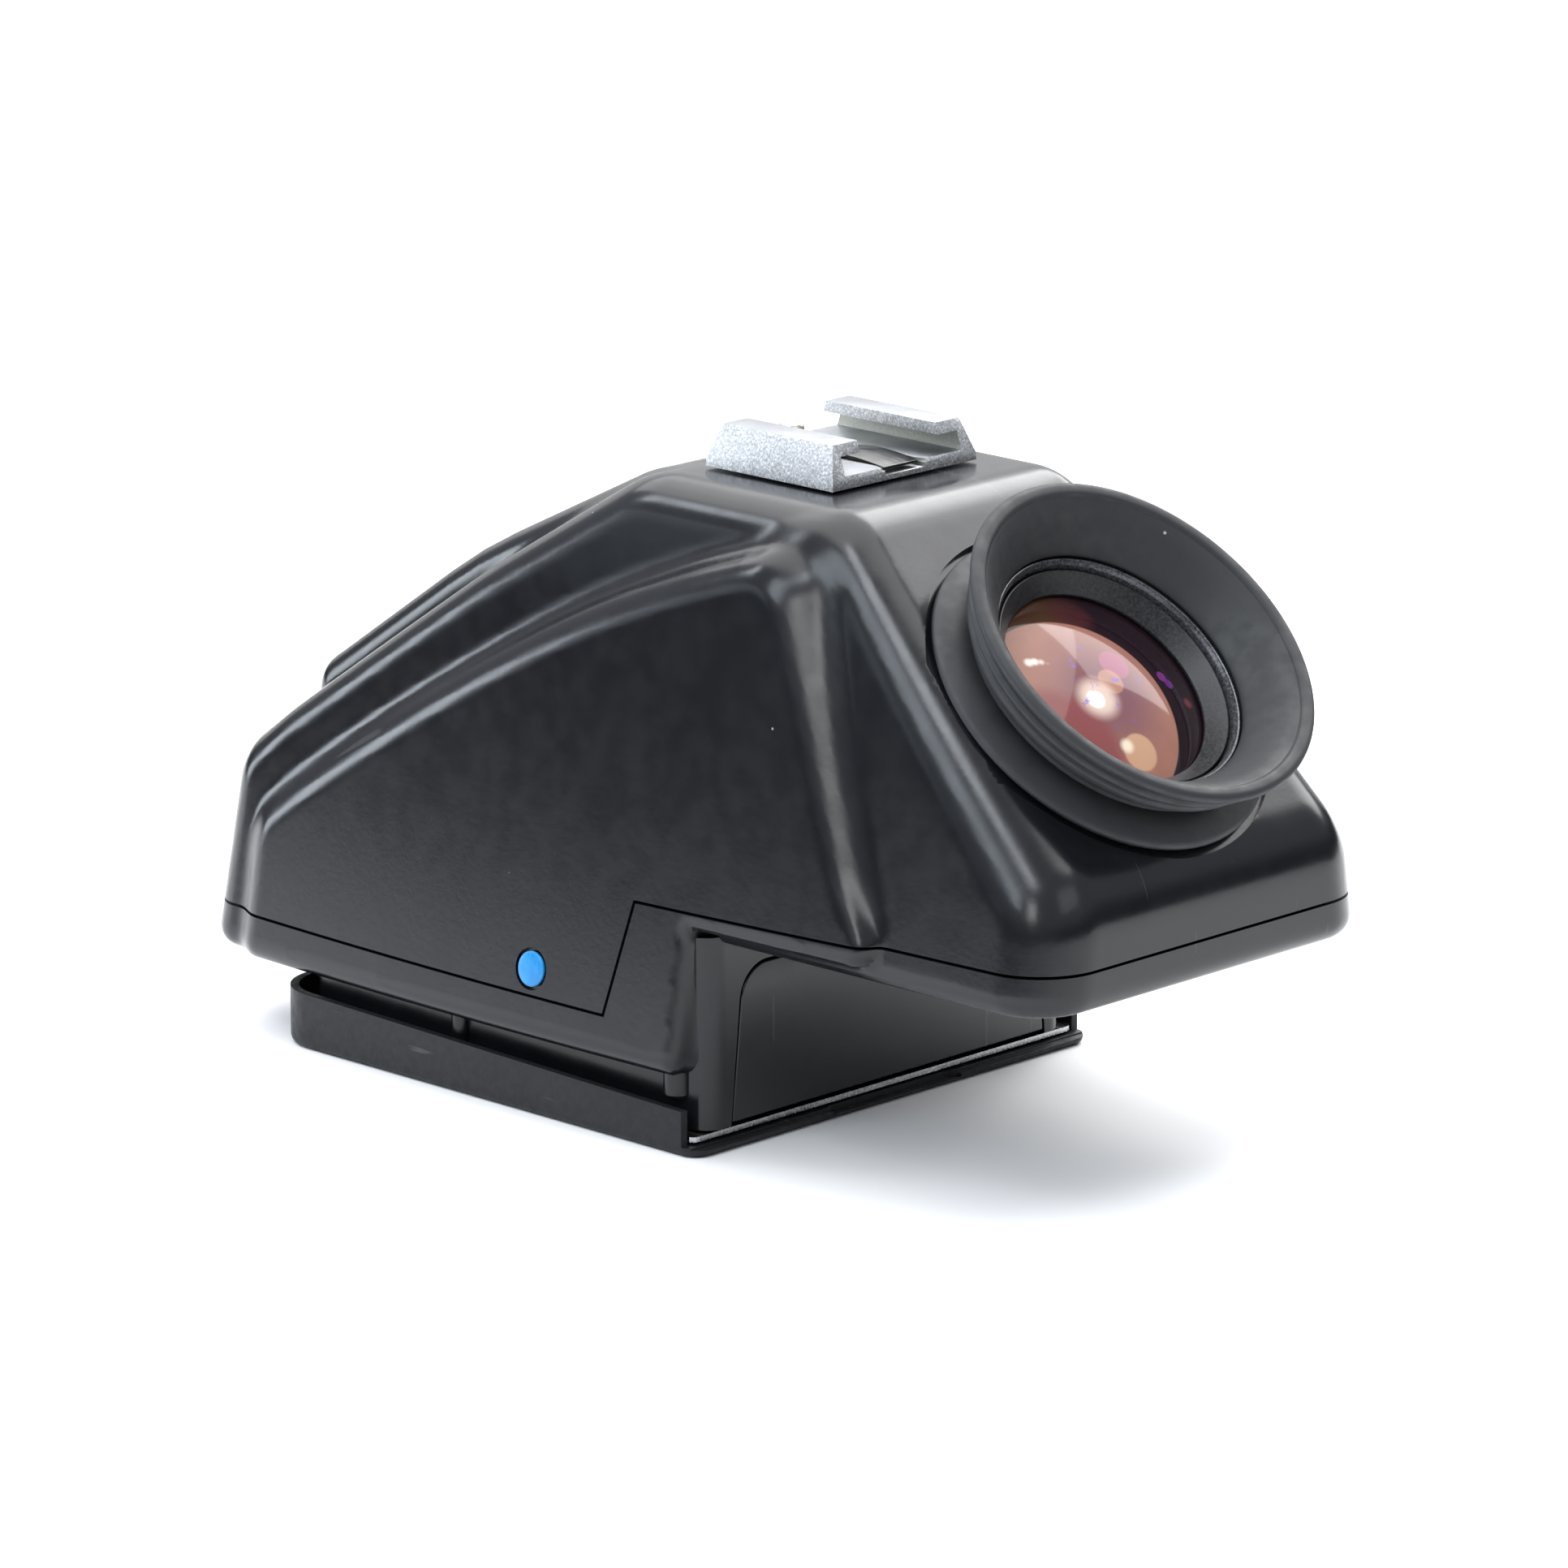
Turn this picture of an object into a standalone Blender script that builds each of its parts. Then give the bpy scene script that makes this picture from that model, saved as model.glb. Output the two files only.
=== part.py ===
"""Prism viewfinder for a medium-format camera: housing, prism, eyepiece with dioptre ring,
accessory shoe and slide-off base cover. +Z is up, +Y is the lens direction, -X is the user's left.
The origin lies at the middle of the base cover's underside. Shapes are drawn in millimetres and
scaled to metres when they are finished."""

import math

import bmesh
import bpy
from mathutils import Matrix, Vector

MM = 0.001
GAP = 0.3

# Housing
TOP_Z = 71.7
SEAM_FRONT_Z = 14.0
SEAM_REAR_Z = (27.2, 28.4)
SEAM_JOG_FRONT_Y = -19.2
SEAM_JOG_REAR_Y = -22.2
SEAM_HALF = 0.16
FLANK_AT_SEAM = 30.0
FLANK_LEAN = 0.149
FLANK_TAPER = 0.008
FLANK_START_Y = 45.0
WALL = 2.0
BELLY_Z = 8.7
TRAY_Z = 23.3
REAR_Y = -79.9
REAR_CORNER = 7.4
COLUMN_Y = -30.6

# Side pods
POD_AT_SEAM = 33.0
POD_CROWN = 0.00068
POD_CROWN_Y = -5.0
POD_STRIP_Z = 25.3
POD_EDGE = 2.2

# Neck below the housing
NECK_HALF = 29.5
NECK_REAR_Y = -32.0
NECK_FRONT_Y = 32.0
NECK_BOTTOM_Z = 2.3
NECK_CORNER = 3.0

# Base plate and slide-off cover
PLATE_HALF = 31.1
PLATE_REAR_Y = -31.4
PLATE_FRONT_Y = 34.4
PLATE_Z = (1.4, 2.0)
COVER_HALF = 32.45
COVER_REAR_Y = -33.13
COVER_FRONT_Y = 35.9
COVER_FLOOR = 0.9
COVER_WALL = 1.0
COVER_WALL_END_Y = -30.9
COVER_HIGH_FRONT = 6.75
COVER_HIGH_REAR = 5.05

# Accessory shoe
SHOE_Y = (-33.87, -14.4)
SHOE_HALF = 11.55
SHOE_Z = (72.0, 76.8)
SHOE_DRAFT = 1.4
SLOT_HALF = 9.35
SLOT_GAP_HALF = 6.3
SLOT_Z = (73.4, 75.5)
CHANNEL_HALF = 3.1
CHANNEL_Z = 72.55
SPRING_ROOT = (-19.4, 72.95)

# Eyepiece axis
EYE_TILT = 47.5
EYE_FOOT = Vector((0.0, -62.5, 51.9))
RIM_S = 10.6
RIM_R = 21.6
FLANGE_R = 21.0
EYE_SEGMENTS = 40
LENS_SEGMENTS = 32

# Fasteners and small parts
FRAME_Z = (11.0, 12.4)
POSTS = (
    (-21.5, 37.5, 11.0, 37.0),
    (21.5, 37.5, 11.0, 37.0),
    (-19.5, -70.5, 26.4, 41.0),
    (19.5, -70.5, 26.4, 41.0),
)
PLATE_SCREWS = ((-25.8, -28.0), (25.8, -28.0), (-25.8, 28.0), (25.8, 28.0))
SHOE_SCREW_Y = (-29.0, -22.5)
SHOE_PIN_AT = (-0.8, -17.2)
BARREL_SCREW_TURNS = (30.0, 150.0, 270.0)
PANEL_HALF = (25.4, 23.6)
PANEL_Z = (2.7, 20.2)
MARK_AT = (-7.6, 17.0)
PIN_S = -1.2

EYE_AXIS = Vector((0.0, -math.cos(math.radians(EYE_TILT)), math.sin(math.radians(EYE_TILT))))


def clear_scene():
    for obj in list(bpy.data.objects):
        bpy.data.objects.remove(obj, do_unlink=True)


def material(name, colour, metallic, roughness, transmission=0.0):
    made = bpy.data.materials.new(name)
    made.use_nodes = True
    shader = made.node_tree.nodes["Principled BSDF"]
    shader.inputs["Base Color"].default_value = (*colour, 1.0)
    shader.inputs["Metallic"].default_value = metallic
    shader.inputs["Roughness"].default_value = roughness
    shader.inputs["Transmission Weight"].default_value = transmission
    made.diffuse_color = (*colour, 1.0)
    return made


def add_mesh(name, verts, faces):
    mesh = bpy.data.meshes.new(name)
    mesh.from_pydata([tuple(v) for v in verts], [], faces)
    bm = bmesh.new()
    bm.from_mesh(mesh)
    bmesh.ops.recalc_face_normals(bm, faces=bm.faces)
    bm.to_mesh(mesh)
    bm.free()
    obj = bpy.data.objects.new(name, mesh)
    bpy.context.scene.collection.objects.link(obj)
    return obj


def loft(name, rings, closed=False):
    """Skin over rings of equal length. An open loft gets a cap at each end, a closed one joins up."""
    count = len(rings[0])
    verts = [v for ring in rings for v in ring]
    faces = []
    spans = len(rings) if closed else len(rings) - 1
    for r in range(spans):
        a = r * count
        b = ((r + 1) % len(rings)) * count
        for i in range(count):
            j = (i + 1) % count
            faces.append((a + i, a + j, b + j, b + i))
    if not closed:
        faces.append(tuple(range(count))[::-1])
        faces.append(tuple(range((len(rings) - 1) * count, len(rings) * count)))
    return add_mesh(name, verts, faces)


def box(name, x0, x1, y0, y1, z0, z1):
    ring = [(x0, y0), (x1, y0), (x1, y1), (x0, y1)]
    return loft(name, [[(x, y, z) for x, y in ring] for z in (z0, z1)])


def rounded(corners, step=15.0):
    """Closed outline from corners (u, v, radius), each turned into an arc of that radius."""
    outline = []
    count = len(corners)
    for i, (u, v, radius) in enumerate(corners):
        here = Vector((u, v))
        before = (Vector(corners[i - 1][:2]) - here).normalized()
        after = (Vector(corners[(i + 1) % count][:2]) - here).normalized()
        inside = before.angle(after)
        turn = math.pi - inside
        if radius <= 0 or turn < 0.01:
            outline.append(here)
            continue
        centre = here + (before + after).normalized() * radius / math.sin(inside / 2)
        reach = radius / math.tan(inside / 2)
        start = here + before * reach - centre
        end = here + after * reach - centre
        side = 1 if start.x * end.y - start.y * end.x > 0 else -1
        steps = max(1, round(math.degrees(turn) / step))
        for k in range(steps + 1):
            a = side * turn * k / steps
            square = Vector((-start.y, start.x))
            outline.append(centre + start * math.cos(a) + square * math.sin(a))
    return outline


def spline(points, per_span):
    """Smooth open curve through the points."""
    ends = [2 * Vector(points[0]) - Vector(points[1])] + [Vector(p) for p in points]
    ends.append(2 * Vector(points[-1]) - Vector(points[-2]))
    curve = []
    for i in range(1, len(ends) - 2):
        a, b, c, d = ends[i - 1 : i + 3]
        for k in range(per_span):
            t = k / per_span
            square = (2 * a - 5 * b + 4 * c - d) * t**2
            cube = (3 * b - 3 * c + d - a) * t**3
            curve.append(0.5 * (2 * b + (c - a) * t + square + cube))
    curve.append(Vector(points[-1]))
    return curve


def outward(outline):
    """Mitred outward normal at each point of a closed outline."""
    area = sum(p.x * q.y - p.y * q.x for p, q in zip(outline, outline[1:] + outline[:1]))
    sign = 1 if area > 0 else -1
    normals = []
    for i, here in enumerate(outline):
        a = (here - outline[i - 1]).normalized()
        b = (outline[(i + 1) % len(outline)] - here).normalized()
        n = Vector((a.y + b.y, -a.x - b.x)) * sign
        n.normalize()
        lean = max(0.5, Vector((a.y, -a.x)).dot(n) * sign)
        normals.append(n / lean)
    return normals


def column(name, outline, z0, z1):
    return loft(name, [[(p.x, p.y, z) for p in outline] for z in (z0, z1)])


def rounded_rect(x0, x1, y0, y1, r_front, r_rear, step=22.5):
    return rounded([(x0, y0, r_rear), (x1, y0, r_rear), (x1, y1, r_front), (x0, y1, r_front)], step)


def on_axis(s, radius, turn):
    """Point at a distance along the eyepiece axis and a radius round it."""
    up = EYE_AXIS.cross(Vector((1.0, 0.0, 0.0)))
    return EYE_FOOT + EYE_AXIS * s + (Vector((math.cos(turn), 0.0, 0.0)) + up * math.sin(turn)) * radius


def upright(x, y):
    """Placement of a turned part that stands on +Z at this place."""
    return lambda s, radius, turn: Vector((x + radius * math.cos(turn), y + radius * math.sin(turn), s))


def turned(name, profile, place=on_axis, segments=EYE_SEGMENTS, hollow=True):
    """Turned part from a profile of (radius, height): a ring, or a solid if its ends lie on the axis."""
    rings = []
    for radius, s in profile:
        rings.append([place(s, radius, 2 * math.pi * i / segments) for i in range(segments)])
    return loft(name, rings, closed=hollow)


def volume_of(mesh):
    """Weld the mesh and return its volume, or None if any edge lacks exactly two faces."""
    bm = bmesh.new()
    bm.from_mesh(mesh)
    bmesh.ops.remove_doubles(bm, verts=bm.verts, dist=0.001)
    bmesh.ops.dissolve_degenerate(bm, edges=bm.edges, dist=0.001)
    whole = len(bm.faces) > 3 and all(len(edge.link_faces) == 2 for edge in bm.edges)
    volume = bm.calc_volume(signed=True) if whole else None
    bm.to_mesh(mesh)
    bm.free()
    return volume


def sound(operation, volume, first, second):
    if volume is None:
        return False
    low = {"UNION": max(first, second), "DIFFERENCE": first - second, "INTERSECT": 0.0}[operation]
    high = {"UNION": first + second, "DIFFERENCE": first, "INTERSECT": min(first, second)}[operation]
    return low - 1.0 < volume < high + 1.0


def boolean(target, tool, operation):
    """Exact boolean, with the manifold solver only where the exact one leaves a hole."""
    first = volume_of(target.data)
    second = volume_of(tool.data)
    for solver in ("EXACT", "MANIFOLD"):
        modifier = target.modifiers.new("cut", "BOOLEAN")
        modifier.operation = operation
        modifier.solver = solver
        modifier.object = tool
        graph = bpy.context.evaluated_depsgraph_get()
        mesh = bpy.data.meshes.new_from_object(target.evaluated_get(graph))
        target.modifiers.clear()
        if sound(operation, volume_of(mesh), first, second):
            break
    else:
        raise RuntimeError(f"{operation} of {target.name} and {tool.name} failed")
    target.data = mesh
    bpy.data.objects.remove(tool, do_unlink=True)


def cut(target, *tools):
    for tool in tools:
        boolean(target, tool, "DIFFERENCE")


def join(target, *tools):
    for tool in tools:
        boolean(target, tool, "UNION")


def keep(target, tool):
    boolean(target, tool, "INTERSECT")


def copy_of(obj, name):
    made = bpy.data.objects.new(name, obj.data.copy())
    bpy.context.scene.collection.objects.link(made)
    return made


def finish(obj, look, pivot=None, smooth_angle=32.0):
    """Scale to metres, put the origin on its pivot, weld and shade."""
    bm = bmesh.new()
    bm.from_mesh(obj.data)
    bmesh.ops.remove_doubles(bm, verts=bm.verts, dist=0.002)
    bmesh.ops.scale(bm, vec=Vector((MM, MM, MM)), verts=bm.verts)
    if pivot is not None:
        bmesh.ops.translate(bm, vec=-pivot * MM, verts=bm.verts)
        obj.location = pivot * MM
    for face in bm.faces:
        face.smooth = True
    for edge in bm.edges:
        if len(edge.link_faces) == 2 and edge.calc_face_angle(0.0) > math.radians(smooth_angle):
            edge.smooth = False
    bm.to_mesh(obj.data)
    bm.free()
    obj.data.materials.clear()
    obj.data.materials.append(look)
    return obj


def flank(y, z, inset=0.0):
    return FLANK_AT_SEAM - FLANK_TAPER * (FLANK_START_Y - y) - FLANK_LEAN * (z - SEAM_FRONT_Z) - inset


def pod_face(y, z, inset=0.0):
    crown = POD_CROWN * (y - POD_CROWN_Y) ** 2
    return POD_AT_SEAM - crown - FLANK_LEAN * (z - SEAM_FRONT_Z) - inset


def ridge_radius(normal, y, z):
    """Edge radius where the flank meets the outline: wide at the rear face, tight on the slopes."""
    radius = 4.2
    if normal.x > 0.8:
        radius = 5.6
    if normal.x < -0.3:
        low = min(1.0, max(0.0, (66.0 - z) / 30.0))
        radius = 4.6 + (REAR_CORNER - 4.6) * low
    return radius


def soft_slab(name, outline, half, radii, inset=0.0):
    """Body pulled out sideways from an outline (y, z), its edges rounded by the radius at each point."""
    steps = 2 if inset else 4
    normals = outward(outline)
    left = []
    for k in range(steps + 1):
        a = math.radians(90.0 * k / steps)
        ring = []
        for p, n, r in zip(outline, normals, radii):
            q = p - n * (inset + r * (1.0 - math.sin(a)))
            ring.append((-(half(q.x, q.y, inset) - r * (1.0 - math.cos(a))), q.x, q.y))
        left.append(ring)
    right = [[(-x, y, z) for x, y, z in ring] for ring in reversed(left)]
    return loft(name, left + right)


def main_outline():
    corners = [
        (50.3, -6.0, 0.0),
        (47.8, 31.6, 7.0),
        (11.0, 58.0, 60.0),
        (-10.7, TOP_Z, 12.0),
        (-42.0, TOP_Z, 5.5),
        (REAR_Y, 36.2, 10.5),
        (REAR_Y, -6.0, 0.0),
    ]
    return rounded(corners, 12.0)


def hump_outline():
    corners = [
        (30.0, 30.0, 0.0),
        (47.2, 30.0, 0.0),
        (46.0, 39.5, 4.5),
        (20.0, 57.4, 80.0),
        (-8.0, 71.2, 9.0),
        (-19.0, 69.0, 0.0),
        (-19.0, 60.0, 0.0),
    ]
    return rounded(corners, 14.0)


def hump_half(y, z, inset):
    return 15.6 - 0.02 * (z - 40.0) - inset


def nose_y(z):
    return 49.9 - 0.055 * (z - BELLY_Z)


def plan_loft(name, levels, y_rear, y_front, r_rear, r_front, inset):
    """Tray-like solid whose plan follows the flanks: levels are (height, how far the edge draws in)."""
    rings = []
    for z, draw in levels:
        front = (nose_y(z) if y_front is None else y_front) - inset - draw
        rear = y_rear + inset + draw
        corners = [
            (-flank(rear, z, inset + draw), rear, r_rear),
            (flank(rear, z, inset + draw), rear, r_rear),
            (flank(front, z, inset + draw), front, r_front),
            (-flank(front, z, inset + draw), front, r_front),
        ]
        rings.append([(p.x, p.y, z) for p in rounded(corners, 15.0)])
    return loft(name, rings)


def pod_outline():
    crest = spline(
        [
            (41.2, 16.0),
            (40.7, 24.0),
            (36.5, 28.6),
            (22.0, 38.4),
            (6.0, 48.2),
            (-9.0, 56.3),
            (-22.0, 62.0),
            (-31.5, 65.4),
        ],
        2,
    )
    corner = rounded([(-30.0, 65.0, 0.0), (-38.4, 67.2, 4.6), (-46.8, 47.5, 0.0)], 15.0)[1:-1]
    back = spline([(-45.2, 51.5), (-48.4, 43.8), (-52.6, 34.0), (-57.0, POD_STRIP_Z)], 2)
    foot = [Vector((COLUMN_Y, POD_STRIP_Z)), Vector((COLUMN_Y, 0.0)), Vector((41.6, 0.0))]
    return crest + corner + back + foot


def pod_spread(p, n):
    """How far the foot of a pod lies outside its crest: a wide skirt at the rear, little elsewhere."""
    if n.y < -0.5 or p.y < POD_STRIP_Z + 0.5:
        return 0.0
    if n.x < -0.25:
        return 4.6
    if n.x > 0.7:
        return 1.6
    return 2.4 + 1.6 * min(1.0, max(0.0, (-p.x - 5.0) / 30.0))


def pod(name, side, inset=0.0):
    outline = pod_outline()
    normals = outward(outline)
    spreads = [pod_spread(p, n) for p, n in zip(outline, normals)]
    edges = []
    for p, n in zip(outline, normals):
        low = n.y < -0.5 or p.y < POD_STRIP_Z + 0.1 and p.x < -40.0
        edges.append(0.9 if low else POD_EDGE)
    rings = []
    for depth, spread in ((8.0, 1.25), (4.4, 1.0), (3.0, 0.42)):
        ring = []
        for p, n, wide in zip(outline, normals, spreads):
            q = p + n * (wide * spread - inset)
            ring.append((side * (pod_face(p.x, p.y, inset) - depth), q.x, q.y))
        rings.append(ring)
    for degrees in (0.0, 90.0) if inset else (0.0, 30.0, 60.0, 90.0):
        a = math.radians(degrees)
        ring = []
        for p, n, edge in zip(outline, normals, edges):
            q = p - n * (inset + edge * (1.0 - math.cos(a)))
            ring.append((side * (pod_face(p.x, p.y, inset) - edge * (1.0 - math.sin(a))), q.x, q.y))
        rings.append(ring)
    made = loft(name, rings)
    bm = bmesh.new()
    bm.from_mesh(made.data)
    for y in range(-50, 41, 15):
        geometry = bm.verts[:] + bm.edges[:] + [f for f in bm.faces if len(f.verts) > 8]
        bmesh.ops.bisect_plane(bm, geom=geometry, plane_co=(0, y + 0.37, 0), plane_no=(0, 1, 0))
    bmesh.ops.triangulate(bm, faces=[f for f in bm.faces if len(f.verts) > 4])
    bm.to_mesh(made.data)
    bm.free()
    return made


def solid_hull(name, inset=0.0):
    """Main body, central hump and both pods as one solid, at an inset from the outer surface."""
    outline = main_outline()
    normals = outward(outline)
    radii = [max(0.6, ridge_radius(n, p.x, p.y) - inset) for p, n in zip(outline, normals)]
    body = soft_slab(name, outline, flank, radii, inset)
    cut(body, box("below", -50.0, 50.0, -90.0, 60.0, -20.0, 13.0))
    cut(body, box("below", -50.0, 50.0, -90.0, COLUMN_Y + 3.0, -20.0, 26.5))
    floor = BELLY_Z + inset
    belly = plan_loft(
        "belly",
        [(floor - 0.1, 2.6), (floor + 0.7, 1.1), (floor + 2.0, 0.25), (13.3, 0.04), (14.6, 0.6)],
        COLUMN_Y,
        None,
        1.5,
        max(0.6, 5.6 - inset),
        inset,
    )
    floor = TRAY_Z + inset
    tray = plan_loft(
        "tray",
        [(floor, 3.0), (floor + 0.7, 1.3), (floor + 1.8, 0.35), (26.9, 0.04), (29.0, 0.6)],
        REAR_Y,
        COLUMN_Y + 11.0,
        REAR_CORNER - inset,
        1.0,
        inset,
    )
    ridge = hump_outline()
    hump = soft_slab("hump", ridge, hump_half, [3.6 - inset] * len(ridge), inset)
    join(body, pod("pod_left", -1, inset), pod("pod_right", 1, inset), belly, tray, hump)
    cut(body, box("below", -50.0, 50.0, -90.0, 60.0, -20.0, BELLY_Z + inset))
    return body


def seam_region(name, upper):
    """Solid above or below the stepped joint between the two shells."""
    lift = SEAM_HALF if upper else -SEAM_HALF
    far = 90.0 if upper else -10.0
    low, high = SEAM_REAR_Z
    line = [
        (60.0, SEAM_FRONT_Z + lift),
        (SEAM_JOG_FRONT_Y + lift, SEAM_FRONT_Z + lift),
        (SEAM_JOG_REAR_Y + lift, low + lift),
        (-90.0, high + lift),
    ]
    ring = line + [(-90.0, far), (60.0, far)]
    return loft(name, [[(x, y, z) for y, z in ring] for x in (-45.0, 45.0)])


def slab_normal_to_x(name, ring, x0, x1):
    return loft(name, [[(x, y, z) for y, z in ring] for x in (x0, x1)])


def slab_normal_to_y(name, outline, y0, y1):
    return loft(name, [[(p.x, y, p.y) for p in outline] for y in (y0, y1)])


def panel_outline(grow):
    low = PANEL_HALF[0] + grow
    high = PANEL_HALF[1] + grow
    top = PANEL_Z[1] + grow
    bottom = PANEL_Z[0] - grow if grow < 0 else NECK_BOTTOM_Z - 1.0
    if grow == 0:
        bottom = PANEL_Z[0]
    radius = 4.0 + grow
    corners = [(-low, bottom, 0.0), (low, bottom, 0.0), (high, top, radius), (-high, top, radius)]
    return rounded(corners, 22.5)


def make_shells():
    """The two halves of the housing, with the neck, the screw posts and every opening cut in them."""
    hull = solid_hull("upper_shell")
    cavity = solid_hull("cavity", WALL)
    neck = column(
        "neck",
        rounded_rect(-NECK_HALF, NECK_HALF, NECK_REAR_Y, NECK_FRONT_Y, NECK_CORNER, NECK_CORNER),
        NECK_BOTTOM_Z,
        TRAY_Z + 1.0,
    )
    join(hull, neck)
    for x in (-NECK_HALF + 0.1, NECK_HALF - 0.1):
        join(hull, turned("lug", [(1.2, 4.2), (1.2, 9.5)], upright(x, 6.8), 16, False))
        join(hull, turned("lug", [(1.6, 5.8), (1.6, 9.5)], upright(x, -27.4), 16, False))
    bore = column("bore", rounded_rect(-27.5, 27.5, -30.0, 30.0, 11.0, 11.0), 0.0, 22.0)
    join(cavity, bore)
    cut(hull, cavity)
    lower = copy_of(hull, "lower_shell")
    keep(hull, seam_region("above", True))
    keep(lower, seam_region("below", False))
    join(hull, turned("seat", [(20.2, -2.6), (20.2, -0.3)], hollow=False))
    cut(
        hull,
        turned("recess", [(FLANGE_R + 0.7, -0.3), (FLANGE_R + 0.7, 16.0)], hollow=False),
        turned("underside", [(19.0, -9.0), (19.0, -2.6)], hollow=False),
        turned("eye_hole", [(15.8, -12.0), (15.8, 4.0)], hollow=False),
    )
    for x, y, z0, z1 in POSTS:
        join(hull, turned("post", [(2.4, z0), (2.4, z1)], upright(x, y), 20, False))
        cut(hull, turned("hole", [(1.2, z0 - 1.0), (1.2, z0 + 8.5)], upright(x, y), 12, False))
        floor = BELLY_Z if y > 0 else TRAY_Z
        cut(
            lower,
            turned("bore", [(2.3, floor - 1.0), (2.3, floor + 1.2)], upright(x, y), 20, False),
            turned("hole", [(1.2, floor), (1.2, floor + 4.0)], upright(x, y), 12, False),
        )
    for y in SHOE_SCREW_Y:
        cut(hull, turned("sink", [(0.9, 68.0), (0.9, 71.0), (1.9, 72.1)], upright(0.0, y), 20, False))
    for turn in BARREL_SCREW_TURNS:
        place = off_axis(17.0, turn)
        cut(hull, turned("hole", [(0.8, -3.2), (0.8, -1.3)], place, 12, False))
    cut(hull, turned("mark_seat", [(2.4, -0.55), (2.4, 1.0)], on_pod(-1), 32, False))
    cut(lower, slab_normal_to_y("pocket", panel_outline(0.35), NECK_REAR_Y - 1.0, NECK_REAR_Y + 1.25))
    cut(lower, slab_normal_to_y("window", panel_outline(-1.5), NECK_REAR_Y - 1.0, NECK_REAR_Y + 5.5))
    for x, y in PLATE_SCREWS:
        cut(lower, turned("hole", [(1.0, 1.0), (1.0, 7.4)], upright(x, y), 12, False))
    return hull, lower


def off_axis(radius, turn):
    """Placement parallel to the eyepiece axis, off to one side of it."""
    centre = on_axis(0.0, radius, math.radians(turn))

    def place(s, r, t):
        up = EYE_AXIS.cross(Vector((1.0, 0.0, 0.0)))
        return centre + EYE_AXIS * s + (Vector((math.cos(t), 0.0, 0.0)) + up * math.sin(t)) * r

    return place


def on_pod(side):
    """Placement square to the pod's face at the index mark."""
    y, z = MARK_AT
    normal = Vector((side, 0.0, FLANK_LEAN)).normalized()
    up = normal.cross(Vector((0.0, 1.0, 0.0)))
    centre = Vector((side * pod_face(y, z), y, z))

    def place(s, r, t):
        return centre + normal * s + (Vector((0.0, 1.0, 0.0)) * math.cos(t) + up * math.sin(t)) * r

    return place


def make_cover():
    """Shallow tray open at the rear, with side lips that run over the base plate's edges."""
    y0 = COVER_REAR_Y
    y1 = COVER_FRONT_Y
    outline = rounded_rect(-COVER_HALF, COVER_HALF, y0, y1, 6.5, 2.4, 15.0)
    low = rounded_rect(-COVER_HALF + 0.5, COVER_HALF - 0.5, y0 + 0.5, y1 - 0.5, 6.0, 1.9, 15.0)
    levels = ((low, 0.0), (outline, 0.5), (outline, 8.0))
    cover = loft("base_cover", [[(p.x, p.y, z) for p in ring] for ring, z in levels])
    inner_half = COVER_HALF - COVER_WALL
    inner = rounded_rect(-inner_half, inner_half, y0 - 5.0, y1 - COVER_WALL, 5.5, 0.5, 15.0)
    cut(cover, column("inside", inner, COVER_FLOOR + 0.2, 10.0))
    cut(cover, box("open_end", -40.0, 40.0, y0 - 5.0, COVER_WALL_END_Y, COVER_FLOOR + 0.2, 10.0))
    slope = [(y0 - 5.0, COVER_HIGH_REAR), (y1, COVER_HIGH_FRONT), (y1 + 5.0, COVER_HIGH_FRONT)]
    slope += [(y1 + 5.0, 12.0), (y0 - 5.0, 12.0)]
    cut(cover, slab_normal_to_x("top", slope, -40.0, 40.0))
    cut(cover, box("rear_step", -40.0, 40.0, y0 - 5.0, y0 + 1.1, COVER_FLOOR, 10.0))
    cut(cover, box("thumb", -10.5, 10.5, y0 - 5.0, y0 + 1.6, 0.55, 10.0))
    for x in (-1, 1):
        edge = sorted((x * (inner_half + 0.3), x * (NECK_HALF + 0.85)))
        join(cover, box("lip", edge[0], edge[1], -28.5, 23.0, PLATE_Z[1] + 0.35, PLATE_Z[1] + 1.0))
    return cover


def make_plate():
    outline = rounded_rect(-PLATE_HALF, PLATE_HALF, PLATE_REAR_Y, PLATE_FRONT_Y, 5.2, 1.0)
    plate = column("base_plate", outline, *PLATE_Z)
    cut(plate, column("window", rounded_rect(-24.5, 24.5, -24.5, 24.5, 2.5, 2.5), 0.5, 3.0))
    for x, y in PLATE_SCREWS:
        cut(plate, turned("sink", [(2.5, 1.1), (1.0, 2.05), (1.0, 2.6)], upright(x, y), 24, False))
    return plate


def make_shoe():
    y0, y1 = SHOE_Y
    z0, z1 = SHOE_Z
    levels = ((z0, 0.0), (z0 + 0.9, 0.05), (z1, SHOE_DRAFT))
    rings = []
    for z, draw in levels:
        x = SHOE_HALF - draw
        rings.append([(-x, y0 + draw, z), (x, y0 + draw, z), (x, y1 - draw, z), (-x, y1 - draw, z)])
    shoe = loft("shoe_body", rings)
    cut(
        shoe,
        box("slot", -SLOT_HALF, SLOT_HALF, y0 - 1.0, y1 + 1.0, SLOT_Z[0], SLOT_Z[1]),
        box("gap", -SLOT_GAP_HALF, SLOT_GAP_HALF, y0 - 1.0, y1 + 1.0, SLOT_Z[0] + 0.5, z1 + 1.0),
        box("channel", -CHANNEL_HALF, CHANNEL_HALF, y0 - 1.0, -18.9, CHANNEL_Z, SLOT_Z[0] + 0.5),
        turned("pin_hole", [(1.0, 71.0), (1.0, 74.0)], upright(*SHOE_PIN_AT), 16, False),
    )
    for y in SHOE_SCREW_Y:
        cut(shoe, turned("sink", [(0.9, 71.5), (1.9, 72.1), (2.3, 72.7)], upright(0.0, y), 24, False))
    return shoe


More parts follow.
